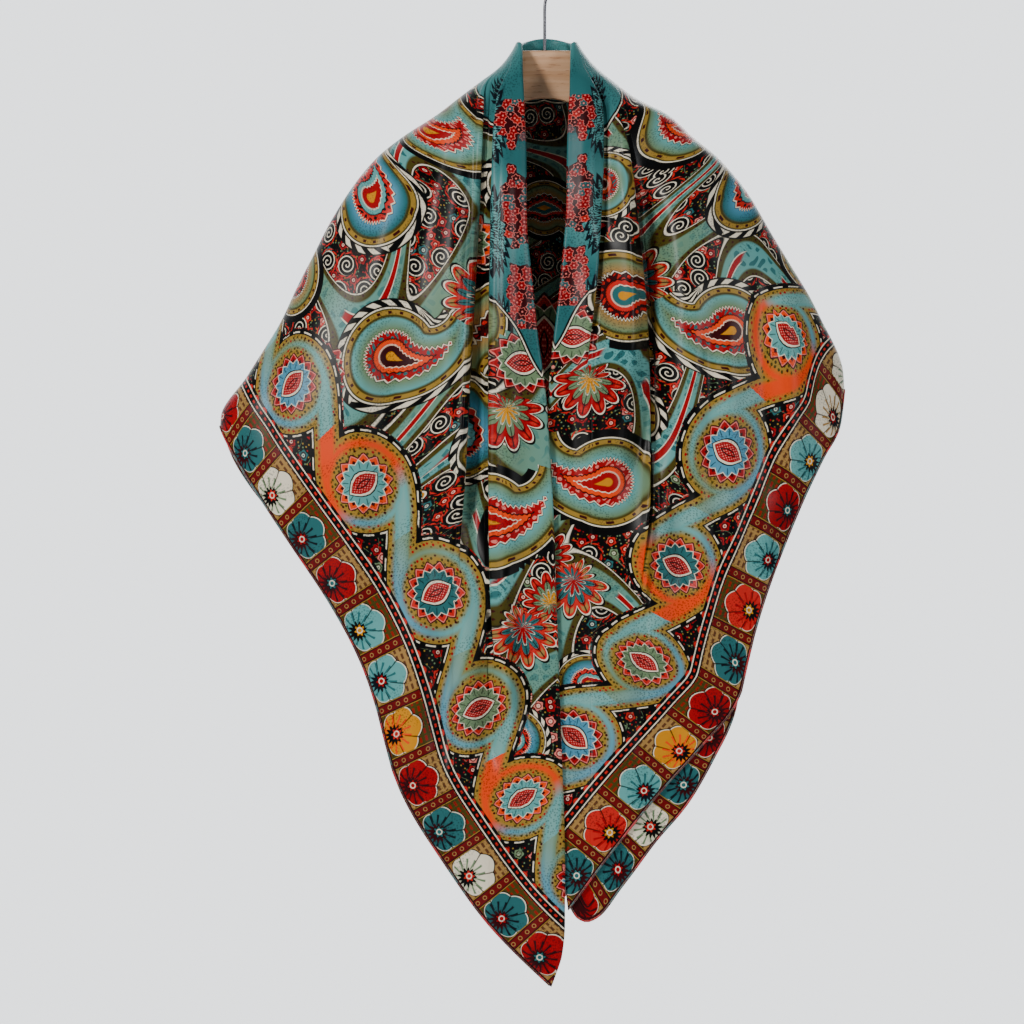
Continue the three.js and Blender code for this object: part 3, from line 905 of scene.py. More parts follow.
# %% [markdown]
# The ground carries scattered small flowers and drops on near-black, with dots of cream and gold
# between them. Over it run broad ribbons of teal and sage with gold rims: the level lines of one
# wavy sum, so they bend and join like stems.


# %% Ground and ribbons
def ground(tree, x, y):
    dot_x, dot_y, tint, _ = scattered(tree, x, y, 0.0040)
    dot = (dot_x * dot_x + dot_y * dot_y).root()
    colour = paint(tree, INK, choose(tree, tint, [BURGUNDY, GOLD, CRIMSON, SAGE]), dot.under(0.0008, 0.0004))
    flower_x, flower_y, tint, turn = scattered(tree, x, y, 0.0150, 0.9)
    radius, angle = polar(flower_x, flower_y)
    edge = radius + lobes(angle + turn * 6, 5) * 0.0014
    colour = paint(tree, colour, INK, edge.under(0.0060, 0.0004))
    petals = choose(tree, tint, [CRIMSON, CORAL, TEAL, CRIMSON, SAGE, CORAL, CRIMSON, PINK])
    colour = paint(tree, colour, petals, edge.under(0.0052, 0.0003))
    colour = paint(tree, colour, BURGUNDY, radius.near(0.0026, 0.0004, 0.0003))
    colour = paint(tree, colour, CREAM, radius.near(0.0012, 0.0003, 0.0003))
    across = (x * 170 + (y * 120).sine() * 2.6).sine()
    down = (y * 160 + (x * 110 + 1.0).sine() * 2.8).sine()
    stem = (across + down * 0.8).size().under(0.07, 0.05) * (across * down).over(-0.4, 0.2)
    return paint(tree, colour, SAGE, stem * 0.8)


def curls(tree, colour, x, y):
    """Small coiled stems with a ring of leaves, scattered over the ground."""
    curl_x, curl_y, _, turn = scattered(tree, x + 0.011, y - 0.007, 0.0310, 0.85)
    radius, angle = polar(curl_x, curl_y)
    coil = (radius / 0.0044 - angle * (1 / math.tau) + turn * 5).part() - 0.5
    disc = radius.under(0.0102, 0.0006)
    colour = paint(tree, colour, INK, disc)
    colour = paint(tree, colour, CREAM, coil.size().under(0.13, 0.10) * disc)
    leaves = lobes(angle + radius * 220, 9).under(0.55, 0.2) * radius.near(0.0117, 0.0011, 0.0004)
    return paint(tree, colour, CORAL, leaves)


def ribbons(tree, colour, s, t):
    broad = (s * 26 + (t * 22 + 0.8).sine() * 1.9 + t * 9).sine() * 0.8
    wave = broad + (t * 31 + (s * 15).sine() * 1.6).sine() * 0.45
    level = (wave - 0.12).size()
    colour = paint(tree, colour, INK, level.under(0.50, 0.015))
    colour = paint(tree, colour, CREAM, level.near(0.465, 0.014, 0.012))
    colour = paint(tree, colour, OLIVE, level.under(0.44, 0.012))
    spot_x, spot_y, _, _ = scattered(tree, s, t, 0.0066, 0.5)
    spot = (spot_x * spot_x + spot_y * spot_y).root().under(0.0012, 0.0004)
    colour = paint(tree, colour, BURGUNDY, spot * level.near(0.38, 0.05, 0.01))
    slow = (s * 19 + t * 8).sine() * (t * 23).sine() * 0.5 + 0.5
    body = paint(tree, SAGE, AQUA, slow)
    colour = paint(tree, colour, body, level.under(0.30, 0.05))
    net = (s * 330 + (t * 210).sine() * 2).sine() * (t * 300 + (s * 190).sine() * 2).sine()
    lace = net.over(0.30, 0.08)
    colour = paint(tree, colour, TEAL, lace * level.under(0.24, 0.03) * slow)
    colour = paint(
        tree, colour, CRIMSON, level.under(0.075, 0.012) * (t * 60 + s * 33).sine().over(0.1, 0.2),
    )
    return paint(
        tree, colour, CREAM, level.near(0.09, 0.012, 0.01) * (t * 60 + s * 33).sine().over(0.05, 0.2),
    )


# %% [markdown]
# A boteh is a drop whose tip curls over. Its outline is a circle joined to a horn that tapers along
# an arc, and a distance from that outline gives the combed rim, the beaded gold band, the smooth body,
# the scalloped lace and the core.


# %% Boteh
def boteh(tree, colour, x, y, palette):
    base, base_angle = polar(x, y)
    pivot_x, pivot_y = 1.15, 0.25
    reach = math.hypot(pivot_x, pivot_y)
    from_x, from_y = x - pivot_x, y - pivot_y
    swing, _ = polar(from_x, from_y)
    level = (from_x * pivot_x + from_y * pivot_y) * (-1 / reach)
    rise = (from_y * pivot_x - from_x * pivot_y) * (1 / reach)
    bend = rise.maths("ARCTAN2", level)
    taper = (bend * (-1 / 2.5) + 1).most(0)
    horn = (swing + bend * 0.13 - reach).size() - taper
    inside = bend.over(0, 0.01) * bend.under(2.5, 0.01)
    gap = (base - 1).least(horn + (inside * -9 + 9))
    along = bend * 9 * inside + base_angle * 9 * (inside * -1 + 1)
    hooks = choose(tree, palette, [INK, CREAM, INK, CREAM])
    comb = (along * 2.2 + gap * 22).sine().over(0.0, 0.4)
    colour = paint(tree, colour, INK, gap.under(0.24, 0.015))
    colour = paint(tree, colour, hooks, gap.near(0.145, 0.06, 0.02) * comb)
    colour = paint(tree, colour, CREAM, gap.near(0.035, 0.016, 0.012))
    colour = paint(tree, colour, OLIVE, gap.under(0.012, 0.012))
    bead = (along * 1.25).sine()
    colour = paint(tree, colour, GOLD, gap.near(-0.06, 0.05, 0.02))
    colour = paint(tree, colour, BURGUNDY, gap.near(-0.06, 0.030, 0.015) * (bead * bead).over(0.80, 0.1))
    colour = paint(tree, colour, OLIVE, gap.under(-0.125, 0.01))
    outer = choose(tree, palette, [SAGE, TEAL, SAGE, AQUA])
    lighter = choose(tree, palette, [AQUA, SKY, SAND, SAGE])
    colour = paint(tree, colour, paint(tree, outer, lighter, gap.under(-0.30, 0.22)), gap.under(-0.17, 0.05))
    scallop = gap + lobes(along, 5) * 0.07
    colour = paint(tree, colour, INK, scallop.under(-0.395, 0.012))
    colour = paint(tree, colour, CREAM, scallop.under(-0.41, 0.012))
    colour = paint(
        tree, colour, choose(tree, palette, [CRIMSON, CORAL, BURGUNDY, CRIMSON]), scallop.under(-0.44, 0.01),
    )
    mesh_a = (x * 26 + (y * 14).sine() * 1.5).sine()
    mesh_b = (y * 28 + (x * 15).sine() * 1.5).sine()
    lace = (mesh_a * mesh_b).over(0.32, 0.12) * scallop.under(-0.47, 0.02)
    colour = paint(tree, colour, choose(tree, palette, [PINK, INK, CORAL, TEAL]), lace)
    core = gap + lobes(along, 7) * 0.03
    colour = paint(tree, colour, INK, core.under(-0.60, 0.012))
    colour = paint(
        tree, colour, choose(tree, palette, [ORANGE, AQUA, CORAL, ORANGE]), core.under(-0.63, 0.012),
    )
    colour = paint(tree, colour, CREAM, core.near(-0.74, 0.012, 0.012))
    colour = paint(
        tree, colour, choose(tree, palette, [CRIMSON, CRIMSON, TEAL, BURGUNDY]), core.under(-0.755, 0.012),
    )
    return paint(tree, colour, MUSTARD, gap.under(-0.90, 0.02))


# %% [markdown]
# The fan is a flower seen from the side: broad petals that open from one root, each with a vein.
# The field's own rosette is a round one with two rows of petals.


# %% Fan and rosette
def fan(tree, colour, x, y, palette):
    radius, angle = polar(x, y + 0.55)
    saw = lobes(angle, 13, 0.5)
    edge = radius + saw * saw * 0.42 + (angle - math.pi / 2).size() * 0.16
    colour = paint(tree, colour, INK, edge.under(1.50, 0.02))
    colour = paint(tree, colour, CREAM, edge.under(1.42, 0.015))
    colour = paint(
        tree, colour, choose(tree, palette, [CRIMSON, TEAL, CORAL, MUSTARD]), edge.under(1.36, 0.015),
    )
    light = choose(tree, palette, [CORAL, AQUA, SAND, ORANGE])
    colour = paint(tree, colour, light, edge.near(1.16, 0.09, 0.05) * saw.under(0.5, 0.2))
    colour = paint(tree, colour, INK, edge.near(0.98, 0.02, 0.015))
    colour = paint(
        tree, colour, choose(tree, palette, [SAGE, CRIMSON, TEAL, BURGUNDY]), edge.under(0.94, 0.015),
    )
    colour = paint(tree, colour, CREAM, edge.near(0.62, 0.02, 0.015))
    colour = paint(
        tree, colour, choose(tree, palette, [MUSTARD, SAGE, CRIMSON, AQUA]), edge.under(0.56, 0.015),
    )
    vein = saw.under(0.09, 0.05) * edge.near(0.95, 0.35, 0.05)
    return paint(tree, colour, INK, vein * 0.8)


def rosette(tree, colour, x, y, first, second):
    """A round flower with pointed petals, about a unit in radius."""
    radius, angle = polar(x, y)
    long = radius + lobes(angle, 14) * 0.17
    short = radius + lobes(angle, 14, 0.5) * 0.13
    colour = paint(tree, colour, BURGUNDY, long.under(1.0, 0.02))
    colour = paint(tree, colour, PINK, long.under(0.95, 0.015))
    colour = paint(tree, colour, first, long.under(0.91, 0.015))
    colour = paint(tree, colour, BURGUNDY, long.under(0.78, 0.03))
    colour = paint(tree, colour, CREAM, short.under(0.77, 0.015))
    colour = paint(tree, colour, second, short.under(0.74, 0.015))
    colour = paint(
        tree, colour, INK, lobes(angle, 14, 0.5).under(0.14, 0.08) * radius.near(0.58, 0.1, 0.03) * 0.6,
    )
    lens = x.size() * 2.75 + y * y * 3.3
    colour = paint(tree, colour, INK, lens.under(1.12, 0.05))
    colour = paint(tree, colour, CREAM, lens.under(1.0, 0.04))
    colour = paint(tree, colour, CRIMSON, lens.under(0.8, 0.04))
    speckle = ((x * 62).sine() * (y * 54).sine()).over(0.35, 0.3)
    colour = paint(tree, colour, PINK, speckle * lens.under(0.66, 0.04))
    return paint(tree, colour, INK, lens.near(0.22, 0.05, 0.04))


# %% [markdown]
# The scroll is one ribbon that swings from ring to ring along the hem. In each repeat it leaves the foot
# of one ring and arrives at the head of the next, so a cosine with its sign changed at the ring gives
# the whole run. A dashed cream line and a stippled edge follow it.

# %% Scroll of ribbon and rings
PITCH = 0.106
RING_AT = 0.094
RING_RADIUS = 0.0335
RING_HALF = 0.0085


def scroll_form(along, hem):
    """Place in the repeat, polar place round its ring, distance from the ribbon's rim, and its mask."""
    x = ((along / PITCH).part() - 0.5) * PITCH
    y = hem - RING_AT
    radius, angle = polar(x, y * 0.94)
    ring = (radius - RING_RADIUS).size() - RING_HALF
    swing = (x * (math.pi / PITCH)).cosine() * 0.029
    side = x.maths("SIGN")
    ribbon = (y + swing * side).size() * 0.84 - 0.0135
    gap = ring.least(ribbon.most(radius * -1 + 0.024))
    zone = gap.least(radius - RING_RADIUS).under(0.0062, 0.0005) * hem.under(0.16, 0.0005)
    return x, y, radius, angle, gap, zone.most(hem.under(0.080, 0.0005))


def scroll(tree, colour, along, hem, form):
    x, y, radius, angle, gap, _ = form
    tint = ((along / PITCH).whole() * 0.382 + 0.47).part()
    dash = (angle * 19).sine().over(-0.35, 0.25)
    colour = paint(tree, colour, INK, gap.under(0.0050, 0.0005))
    colour = paint(tree, colour, CREAM, gap.near(0.0020, 0.0007, 0.0004) * dash)
    colour = paint(tree, colour, GOLD, gap.under(0.0, 0.0005))
    spot_x, spot_y, spot_tint, _ = scattered(tree, along, hem, 0.0042, 0.6)
    spot = (spot_x * spot_x + spot_y * spot_y).root().under(0.0012, 0.0004)
    body = paint(tree, AQUA, SAGE, x.over(0.004, 0.03) * y.under(0.03, 0.03))
    body = paint(tree, body, SKY, y.under(-0.016, 0.03))
    body = paint(tree, body, srgb(156, 190, 182), gap.under(-0.0085, 0.005) * 0.45)
    body = paint(tree, body, ORANGE, tint.over(0.66, 0.01) * x.over(-0.012, 0.02))
    colour = paint(tree, colour, body, gap.under(-0.0052, 0.0050))
    specks = choose(tree, spot_tint, [OLIVE, CRIMSON, OLIVE, BURGUNDY])
    colour = paint(tree, colour, specks, spot * gap.near(-0.0034, 0.0022, 0.0016))
    inner = radius.under(RING_RADIUS - RING_HALF + 0.0010, 0.0004)
    colour = paint(tree, colour, GOLD, inner)
    colour = paint(tree, colour, OLIVE, spot * inner)
    petals = choose(tree, tint, [CORAL, CRIMSON, CORAL, ORANGE])
    leaves = choose(tree, tint, [SAGE, SKY, TEAL, AQUA])
    size = 0.0262
    return paint(tree, colour, rosette(tree, colour, x / size, y / size * 0.9, petals, leaves), inner)


# %% [markdown]
# The guard stripe is two fine lines with dashes between them. The border outside it is a row of square
# fields, each with one lobed flower head, parted by red bars with small rings.

# %% Guard and border
BORDER = 0.045
GUARD = 0.0095
FIELD = 0.050


def guard(tree, colour, along, hem):
    inside = hem - BORDER
    dash = ((along * 900).sine()).over(0.1, 0.5)
    colour = paint(tree, colour, INK, inside.under(GUARD + 0.003, 0.0004))
    leaf = ((along * 420).sine() * 0.5 + 0.5) * ((inside - GUARD) / 0.006 * -1 + 1)
    colour = paint(tree, colour, CORAL, leaf.over(0.55, 0.2) * inside.near(GUARD + 0.002, 0.002, 0.0006))
    colour = paint(tree, colour, INK, inside.under(GUARD, 0.0004))
    colour = paint(tree, colour, CREAM, inside.near(GUARD - 0.0005, 0.0006, 0.0003))
    colour = paint(tree, colour, CREAM, inside.near(0.0018, 0.0006, 0.0003))
    return paint(tree, colour, CORAL, inside.near(0.0055, 0.0010, 0.0004) * dash)


def border(tree, colour, along, hem):
    cell = (along / FIELD).whole()
    x = ((along / FIELD).part() - 0.5) * FIELD
    tint = (cell * 0.618 + (cell * 0.09).sine() * 0.1 + 0.33).part()
    back = choose(tree, (cell * 0.5).part() + 0.1, [SAND, OLIVE])
    woven = (hem * 1150).sine().over(0.2, 0.5) * (along * 900).sine().over(-0.6, 0.5)
    back = paint(tree, back, choose(tree, (cell * 0.5).part() + 0.1, [BURGUNDY, CRIMSON]), woven * 0.75)
    radius, angle = polar(x, hem - 0.0105)
    round_off = angle.sine() * 0.30 + 0.70
    lobe = radius / round_off - (angle * 3.5 + 0.8).cosine().size() * 0.0036
    back = paint(tree, back, INK, lobe.under(0.0262, 0.0005))
    flower = choose(tree, tint, [AQUA, CREAM, TEAL, CRIMSON, MUSTARD, CREAM, CORAL, AQUA, CRIMSON, TEAL])
    shade = choose(tree, tint, [TEAL, SAND, NAVY, BURGUNDY, ORANGE, SAGE, CRIMSON, TEAL, BURGUNDY, NAVY])
    bloom = paint(tree, flower, shade, radius.under(0.009, 0.010) * 0.6)
    back = paint(tree, back, CREAM, lobe.under(0.0252, 0.0004))
    back = paint(tree, back, bloom, lobe.under(0.0242, 0.0005))
    stroke = (angle * 14 + (radius * 300).sine() * 0.6).sine().over(0.62, 0.3)
    vein = stroke * radius.near(0.0125, 0.0050, 0.001)
    back = paint(tree, back, shade, vein * lobe.under(0.0225, 0.001))
    crown = (radius + lobes(angle, 13) * 0.0038).under(0.0098, 0.0005)
    back = paint(tree, back, choose(tree, tint, [NAVY, BURGUNDY, INK, INK, BURGUNDY]), crown)
    parting = (angle * 3.5 + 0.8).cosine().size().under(0.10, 0.08) * radius.over(0.0105, 0.001)
    back = paint(tree, back, INK, parting * lobe.under(0.0255, 0.0005) * 0.8)
    heart, heart_angle = polar(x, hem - 0.0125)
    star = heart + lobes(heart_angle, 7) * 0.0026
    back = paint(tree, back, INK, star.under(0.0068, 0.0004))
    back = paint(
        tree, back, choose(tree, tint, [CRIMSON, TEAL, CORAL, MUSTARD, CRIMSON]), star.under(0.0056, 0.0004),
    )
    back = paint(tree, back, CREAM, heart.near(0.0024, 0.0005, 0.0004))
    bar = x.size().over(FIELD / 2 - 0.0056, 0.0004)
    back = paint(tree, back, BURGUNDY, bar)
    back = paint(tree, back, GOLD, x.size().near(FIELD / 2 - 0.0050, 0.0004, 0.0003))
    back = paint(tree, back, srgb(122, 22, 28), x.size().over(FIELD / 2 - 0.0034, 0.0003))
    bead = (x.size() - FIELD / 2) * (x.size() - FIELD / 2)
    hole = ((hem / 0.0085).part() - 0.5) * 0.0085
    ring = (bead + hole * hole).root()
    back = paint(tree, back, SAND, ring.near(0.0017, 0.0004, 0.0003))
    back = paint(tree, back, BURGUNDY, hem.under(0.0022, 0.0004))
    return paint(tree, colour, back, hem.under(BORDER, 0.0004))


# %% [markdown]
# Along the folded edge near the neck the silk is plain teal. Spiky bunches of dark lace stand on it, and a
# chain of small red flowers runs beside the fold.


# %% Neck lace
def neck_lace(tree, colour, s, t):
    far = s.size()
    x = ((far / 0.104 + 0.12).part() - 0.5) * 0.104
    reach = (far * -0.55 + 0.205).least(0.060) + (far * 70).sine() * 0.0035
    zone = paint(tree, TEAL, AQUA, (far * 33).sine() * 0.5 + t * 12)
    bunch_r, bunch_a = polar(x / 0.046, (t - 0.031) / 0.017)
    spike = bunch_r + lobes(bunch_a, 23) * 0.24
    wave_a = (x * 1150 + (t * 900).sine() * 2.2).sine()
    wave_b = (t * 1400 + (x * 820).sine() * 2.2).sine()
    lace = (wave_a * wave_b).over(0.10, 0.25) * spike.under(0.84, 0.06)
    below = far.over(0.10, 0.004)
    zone = paint(tree, zone, NAVY, spike.under(1.0, 0.03) * below)
    zone = paint(tree, zone, AQUA, lace * below * 0.85)
    zone = paint(
        tree, zone, AQUA, (spike.near(0.72, 0.03, 0.02) + spike.near(0.46, 0.03, 0.02)) * below * 0.7,
    )
    spot_x, spot_y, tint, turn = scattered(tree, far, t, 0.0078, 0.95)
    middle = (((far - spot_x) / 0.092 + 0.05).part() - 0.5) * 0.092
    bunch, _ = polar(middle / 0.040, (t - spot_y - 0.010) / 0.0125)
    is_bunch = bunch.under(1.0, 0.02) * far.over(0.122, 0.001) * far.under(0.34, 0.001)
    radius, angle = polar(spot_x, spot_y)
    petal = radius + lobes(angle + turn * 6, 6) * 0.0014
    cluster = choose(tree, tint, [CRIMSON, CORAL, CRIMSON, BURGUNDY, CRIMSON, CRIMSON, TEAL])
    bloom = paint(tree, BURGUNDY, PINK, petal.near(0.0044, 0.0003, 0.0003))
    bloom = paint(tree, bloom, cluster, petal.under(0.0041, 0.0003))
    bloom = paint(tree, bloom, BURGUNDY, petal.near(0.0024, 0.0003, 0.0003))
    bloom = paint(tree, bloom, PINK, radius.under(0.0009, 0.0004))
    zone = paint(tree, zone, bloom, is_bunch)
    colour = paint(tree, colour, INK, t.under(reach + 0.0045, 0.0006))
    colour = paint(tree, colour, CREAM, (t - reach).near(0.0026, 0.0007, 0.0004))
    return paint(tree, colour, zone, t.under(reach, 0.0006))


# %% [markdown]
# Silk twill has a fine diagonal rib and a soft, bright sheen that spreads along the folds.
# The print sits in the yarn, so the sheen lies over every colour alike. Dye takes a little unevenly,
# which a slow noise in roughness and value shows.


# %% Silk material
def silk_material(name):
    material = bpy.data.materials.new(name)
    material.use_nodes = True
    tree = material.node_tree
    shader = tree.nodes["Principled BSDF"]
    s, t = uv_map(tree, "square")
    along, hem = uv_map(tree, "border")
    x, y = uv_map(tree, "motif")
    kind = number(tree, "kind")
    palette = number(tree, "palette") * 0.25 + 0.1
    form = scroll_form(along, hem)
    zone = form[-1]
    base = ground(tree, s + (along - s) * zone, t + (hem - t) * zone)
    colour = ribbons(tree, curls(tree, base, s, t), s, t)
    drops = boteh(tree, colour, x, y, palette)
    fans = fan(tree, colour, x, y, palette)
    first = choose(tree, palette, [CORAL, CRIMSON, ORANGE, CORAL])
    rounds = rosette(tree, colour, x * 0.8, y * 0.8, first, SAGE)
    field = paint(tree, drops, fans, kind.over(0.5, 0.1))
    field = paint(tree, field, rounds, kind.over(1.5, 0.1))
    colour = neck_lace(tree, field, s, t)
    colour = paint(tree, colour, scroll(tree, base, along, hem, form), zone)
    colour = guard(tree, colour, along, hem)
    colour = border(tree, colour, along, hem)
    place = tree.nodes.new("ShaderNodeTexCoord")
    cloud = tree.nodes.new("ShaderNodeTexNoise")
    cloud.inputs["Scale"].default_value = 9.0
    cloud.inputs["Detail"].default_value = 3.0
    tree.links.new(place.outputs["Object"], cloud.inputs["Vector"])
    cloudy = Field(tree, cloud.outputs["Fac"])
    fleck_x, fleck_y, _, _ = scattered(tree, s, t, 0.0026, 1.0)
    fleck = (fleck_x * fleck_x + fleck_y * fleck_y).root().under(0.0007, 0.0005)
    patch = ((s * 61 + (t * 43).sine() * 2).sine() * (t * 57 + (s * 39).sine() * 2).sine()).over(-0.05, 0.5)
    colour = paint(tree, colour, NAVY, fleck * patch * 0.4)
    mute = paint(tree, colour, srgb(50, 50, 48), cloudy * 0.06)
    deep = tree.nodes.new("ShaderNodeGamma")
    deep.inputs["Gamma"].default_value = 1.22
    tree.links.new(mute, deep.inputs["Color"])
    tree.links.new(deep.outputs[0], shader.inputs["Base Color"])
    tree.links.new((cloudy * 0.12 + 0.30).socket, shader.inputs["Roughness"])
    shader.inputs["Specular IOR Level"].default_value = 0.15
    shader.inputs["Sheen Weight"].default_value = 0.02
    shader.inputs["Sheen Roughness"].default_value = 0.35
    rib = ((s + t) * 4200).sine() * 0.5 + ((s - t) * 2600).sine() * 0.15
    bump = tree.nodes.new("ShaderNodeBump")
    bump.inputs["Strength"].default_value = 0.10
    bump.inputs["Distance"].default_value = 0.0002
    tree.links.new(rib.socket, bump.inputs["Height"])
    tree.links.new(bump.outputs[0], shader.inputs["Normal"])
    print(name, "has", len(tree.nodes), "nodes")
    return material


silk = silk_material("printed_silk")
for piece in (scarf, under_silk):
    piece.data.materials.append(silk)

# %% [markdown]
# ## Giving the sheet its thickness
# Two layers of 14 momme silk are under half a millimetre thick. Solidify grows the sheet inwards, so its
# outer face stays where the print was laid out.

# %% Thin shell
SHELL = 0.6 * MM


def thickened(piece, thickness):
    solid = piece.modifiers.new("shell", "SOLIDIFY")
    solid.thickness = thickness
    solid.offset = -1
    graph = bpy.context.evaluated_depsgraph_get()
    live = piece.evaluated_get(graph)
    mesh = bpy.data.meshes.new_from_object(live, preserve_all_data_layers=True, depsgraph=graph)
    piece.modifiers.clear()
    piece.data = mesh
    return piece


for piece in (scarf, under_silk):
    thickened(piece, SHELL)
    triangles = sum(len(p.vertices) - 2 for p in piece.data.polygons)
    print(piece.name, "triangles:", triangles)

# %% [markdown]
# ## The rolled hem
# A hand-rolled hem is a thin rope of silk along all four sides, held by slip stitches a few
# millimetres apart. Geometry Nodes follow the hem's line: one part sweeps a small circle along it and
# another sets a short stitch at every step.


# %% Sweep along a line
def line_object(name, points_mm):
    curve = bpy.data.curves.new(name, "CURVE")
    curve.dimensions = "3D"
    spline = curve.splines.new("POLY")
    spline.points.add(len(points_mm) - 1)
    flat_points = np.concatenate([np.array(points_mm) * MM, np.ones((len(points_mm), 1))], axis=1)
    spline.points.foreach_set("co", flat_points.ravel())
    piece = bpy.data.objects.new(name, curve)
    bpy.context.scene.collection.objects.link(piece)
    return piece


def geometry_tree(name, inputs):
    tree = bpy.data.node_groups.new(name, "GeometryNodeTree")
    tree.interface.new_socket("Geometry", in_out="INPUT", socket_type="NodeSocketGeometry")
    for label, kind_of_socket, value in inputs:
        socket = tree.interface.new_socket(label, in_out="INPUT", socket_type=kind_of_socket)
        if value is not None:
            socket.default_value = value
    tree.interface.new_socket("Geometry", in_out="OUTPUT", socket_type="NodeSocketGeometry")
    return tree, tree.nodes.new("NodeGroupInput"), tree.nodes.new("NodeGroupOutput")


def swept_line_tree():
    tree, given, result = geometry_tree("swept_line", [
        ("Radius", "NodeSocketFloat", 0.0012),
        ("Sides", "NodeSocketInt", 8),
        ("Step", "NodeSocketFloat", 0.005),
        ("Stitch Gap", "NodeSocketFloat", 0.0),
        ("Material", "NodeSocketMaterial", None),
    ])
    make = tree.nodes.new
    link = tree.links.new
    resample = make("GeometryNodeResampleCurve")
    resample.mode = "LENGTH"
    link(given.outputs["Geometry"], resample.inputs["Curve"])
    link(given.outputs["Step"], resample.inputs["Length"])
    circle = make("GeometryNodeCurvePrimitiveCircle")
    link(given.outputs["Sides"], circle.inputs["Resolution"])
    link(given.outputs["Radius"], circle.inputs["Radius"])
    sweep = make("GeometryNodeCurveToMesh")
    sweep.inputs["Fill Caps"].default_value = True
    link(resample.outputs[0], sweep.inputs["Curve"])
    link(circle.outputs[0], sweep.inputs["Profile Curve"])
    wanted = make("FunctionNodeCompare")
    wanted.data_type = "FLOAT"
    wanted.operation = "GREATER_THAN"
    link(given.outputs["Stitch Gap"], wanted.inputs["A"])
    spacing = make("ShaderNodeMath")
    spacing.operation = "MAXIMUM"
    spacing.inputs[1].default_value = 0.003
    link(given.outputs["Stitch Gap"], spacing.inputs[0])
    places = make("GeometryNodeCurveToPoints")
    places.mode = "LENGTH"
    link(given.outputs["Geometry"], places.inputs["Curve"])
    link(spacing.outputs[0], places.inputs["Length"])
    stitch = make("GeometryNodeMeshIcoSphere")
    stitch.inputs["Radius"].default_value = 0.00045
    stitch.inputs["Subdivisions"].default_value = 1
    spread = make("GeometryNodeInstanceOnPoints")
    link(places.outputs["Points"], spread.inputs["Points"])
    link(wanted.outputs[0], spread.inputs["Selection"])
    link(stitch.outputs["Mesh"], spread.inputs["Instance"])
    link(places.outputs["Rotation"], spread.inputs["Rotation"])
    spread.inputs["Scale"].default_value = (3.4, 1.0, 2.6)
    join = make("GeometryNodeJoinGeometry")
    link(sweep.outputs[0], join.inputs[0])
    link(spread.outputs[0], join.inputs[0])
    real = make("GeometryNodeRealizeInstances")
    link(join.outputs[0], real.inputs[0])
    dress = make("GeometryNodeSetMaterial")
    link(real.outputs[0], dress.inputs["Geometry"])
    link(given.outputs["Material"], dress.inputs["Material"])
    smooth = make("GeometryNodeSetShadeSmooth")
    link(dress.outputs[0], smooth.inputs[0])
    link(smooth.outputs[0], result.inputs[0])
    return tree


SWEEP = swept_line_tree()
SOCKETS = {item.name: item.identifier for item in SWEEP.interface.items_tree if item.in_out == "INPUT"}


def swept(name, points_mm, radius, sides, step, stitch_gap, material):
    """A tube along a line, made a plain mesh."""
    line = line_object(name + "_line", points_mm)
    holder = bpy.data.objects.new(name, bpy.data.meshes.new(name))
    modifier = line.modifiers.new("sweep", "NODES")
    modifier.node_group = SWEEP
    modifier[SOCKETS["Radius"]] = radius
    modifier[SOCKETS["Sides"]] = sides
    modifier[SOCKETS["Step"]] = step
    modifier[SOCKETS["Stitch Gap"]] = stitch_gap
    modifier[SOCKETS["Material"]] = material
    graph = bpy.context.evaluated_depsgraph_get()
    holder.data = bpy.data.meshes.new_from_object(line.evaluated_get(graph), depsgraph=graph)
    bpy.data.objects.remove(line)
    bpy.context.scene.collection.objects.link(holder)
    print(name, "faces:", len(holder.data.polygons))
    return holder


# %% Hem material
def hem_material():
    material = bpy.data.materials.new("rolled_hem")
    material.use_nodes = True
    tree = material.node_tree
    shader = tree.nodes["Principled BSDF"]
    place = tree.nodes.new("ShaderNodeTexCoord")
    patches = tree.nodes.new("ShaderNodeTexNoise")
    patches.inputs["Scale"].default_value = 42.0
    patches.inputs["Detail"].default_value = 1.0
    tree.links.new(place.outputs["Object"], patches.inputs["Vector"])
    fine = tree.nodes.new("ShaderNodeTexNoise")
    fine.inputs["Scale"].default_value = 900.0
    tree.links.new(place.outputs["Object"], fine.inputs["Vector"])
    colours = [INK, BURGUNDY, CRIMSON, BURGUNDY, srgb(60, 88, 90), BURGUNDY, INK]
    colour = choose(tree, Field(tree, patches.outputs["Fac"]), colours)
    colour = paint(tree, colour, SAND, Field(tree, fine.outputs["Fac"]).over(0.60, 0.08) * 0.5)
    tree.links.new(colour, shader.inputs["Base Color"])
    shader.inputs["Roughness"].default_value = 0.42
    shader.inputs["Sheen Weight"].default_value = 0.25
    bump = tree.nodes.new("ShaderNodeBump")
    bump.inputs["Strength"].default_value = 0.3
    bump.inputs["Distance"].default_value = 0.0003
    tree.links.new(fine.outputs["Fac"], bump.inputs["Height"])
    tree.links.new(bump.outputs[0], shader.inputs["Normal"])
    return material


# %% Hems
HEM_RADIUS = 1.0 * MM
STITCH_GAP = 5.0 * MM
hem_dye = hem_material()
ROLL_LINES = 8
hem_line = points[ROLL_LINES:-ROLL_LINES, -1]
hem_roll = swept("hem_roll", hem_line, HEM_RADIUS, 8, 4.0 * MM, STITCH_GAP, hem_dye)
under_roll = swept("under_hem_roll", under_points[:, -1], HEM_RADIUS, 8, 4.0 * MM, STITCH_GAP, hem_dye)

# %% [markdown]
# ## The wooden hanger
# A coat hanger is cut from one board: a block in the middle and two arms that follow the shoulders.
# Its upper edge comes from the cloth's own shoulder line, set in by the thickness of the silk.
# The board is an outline given a depth, and a bevel rounds its edges as a router does.

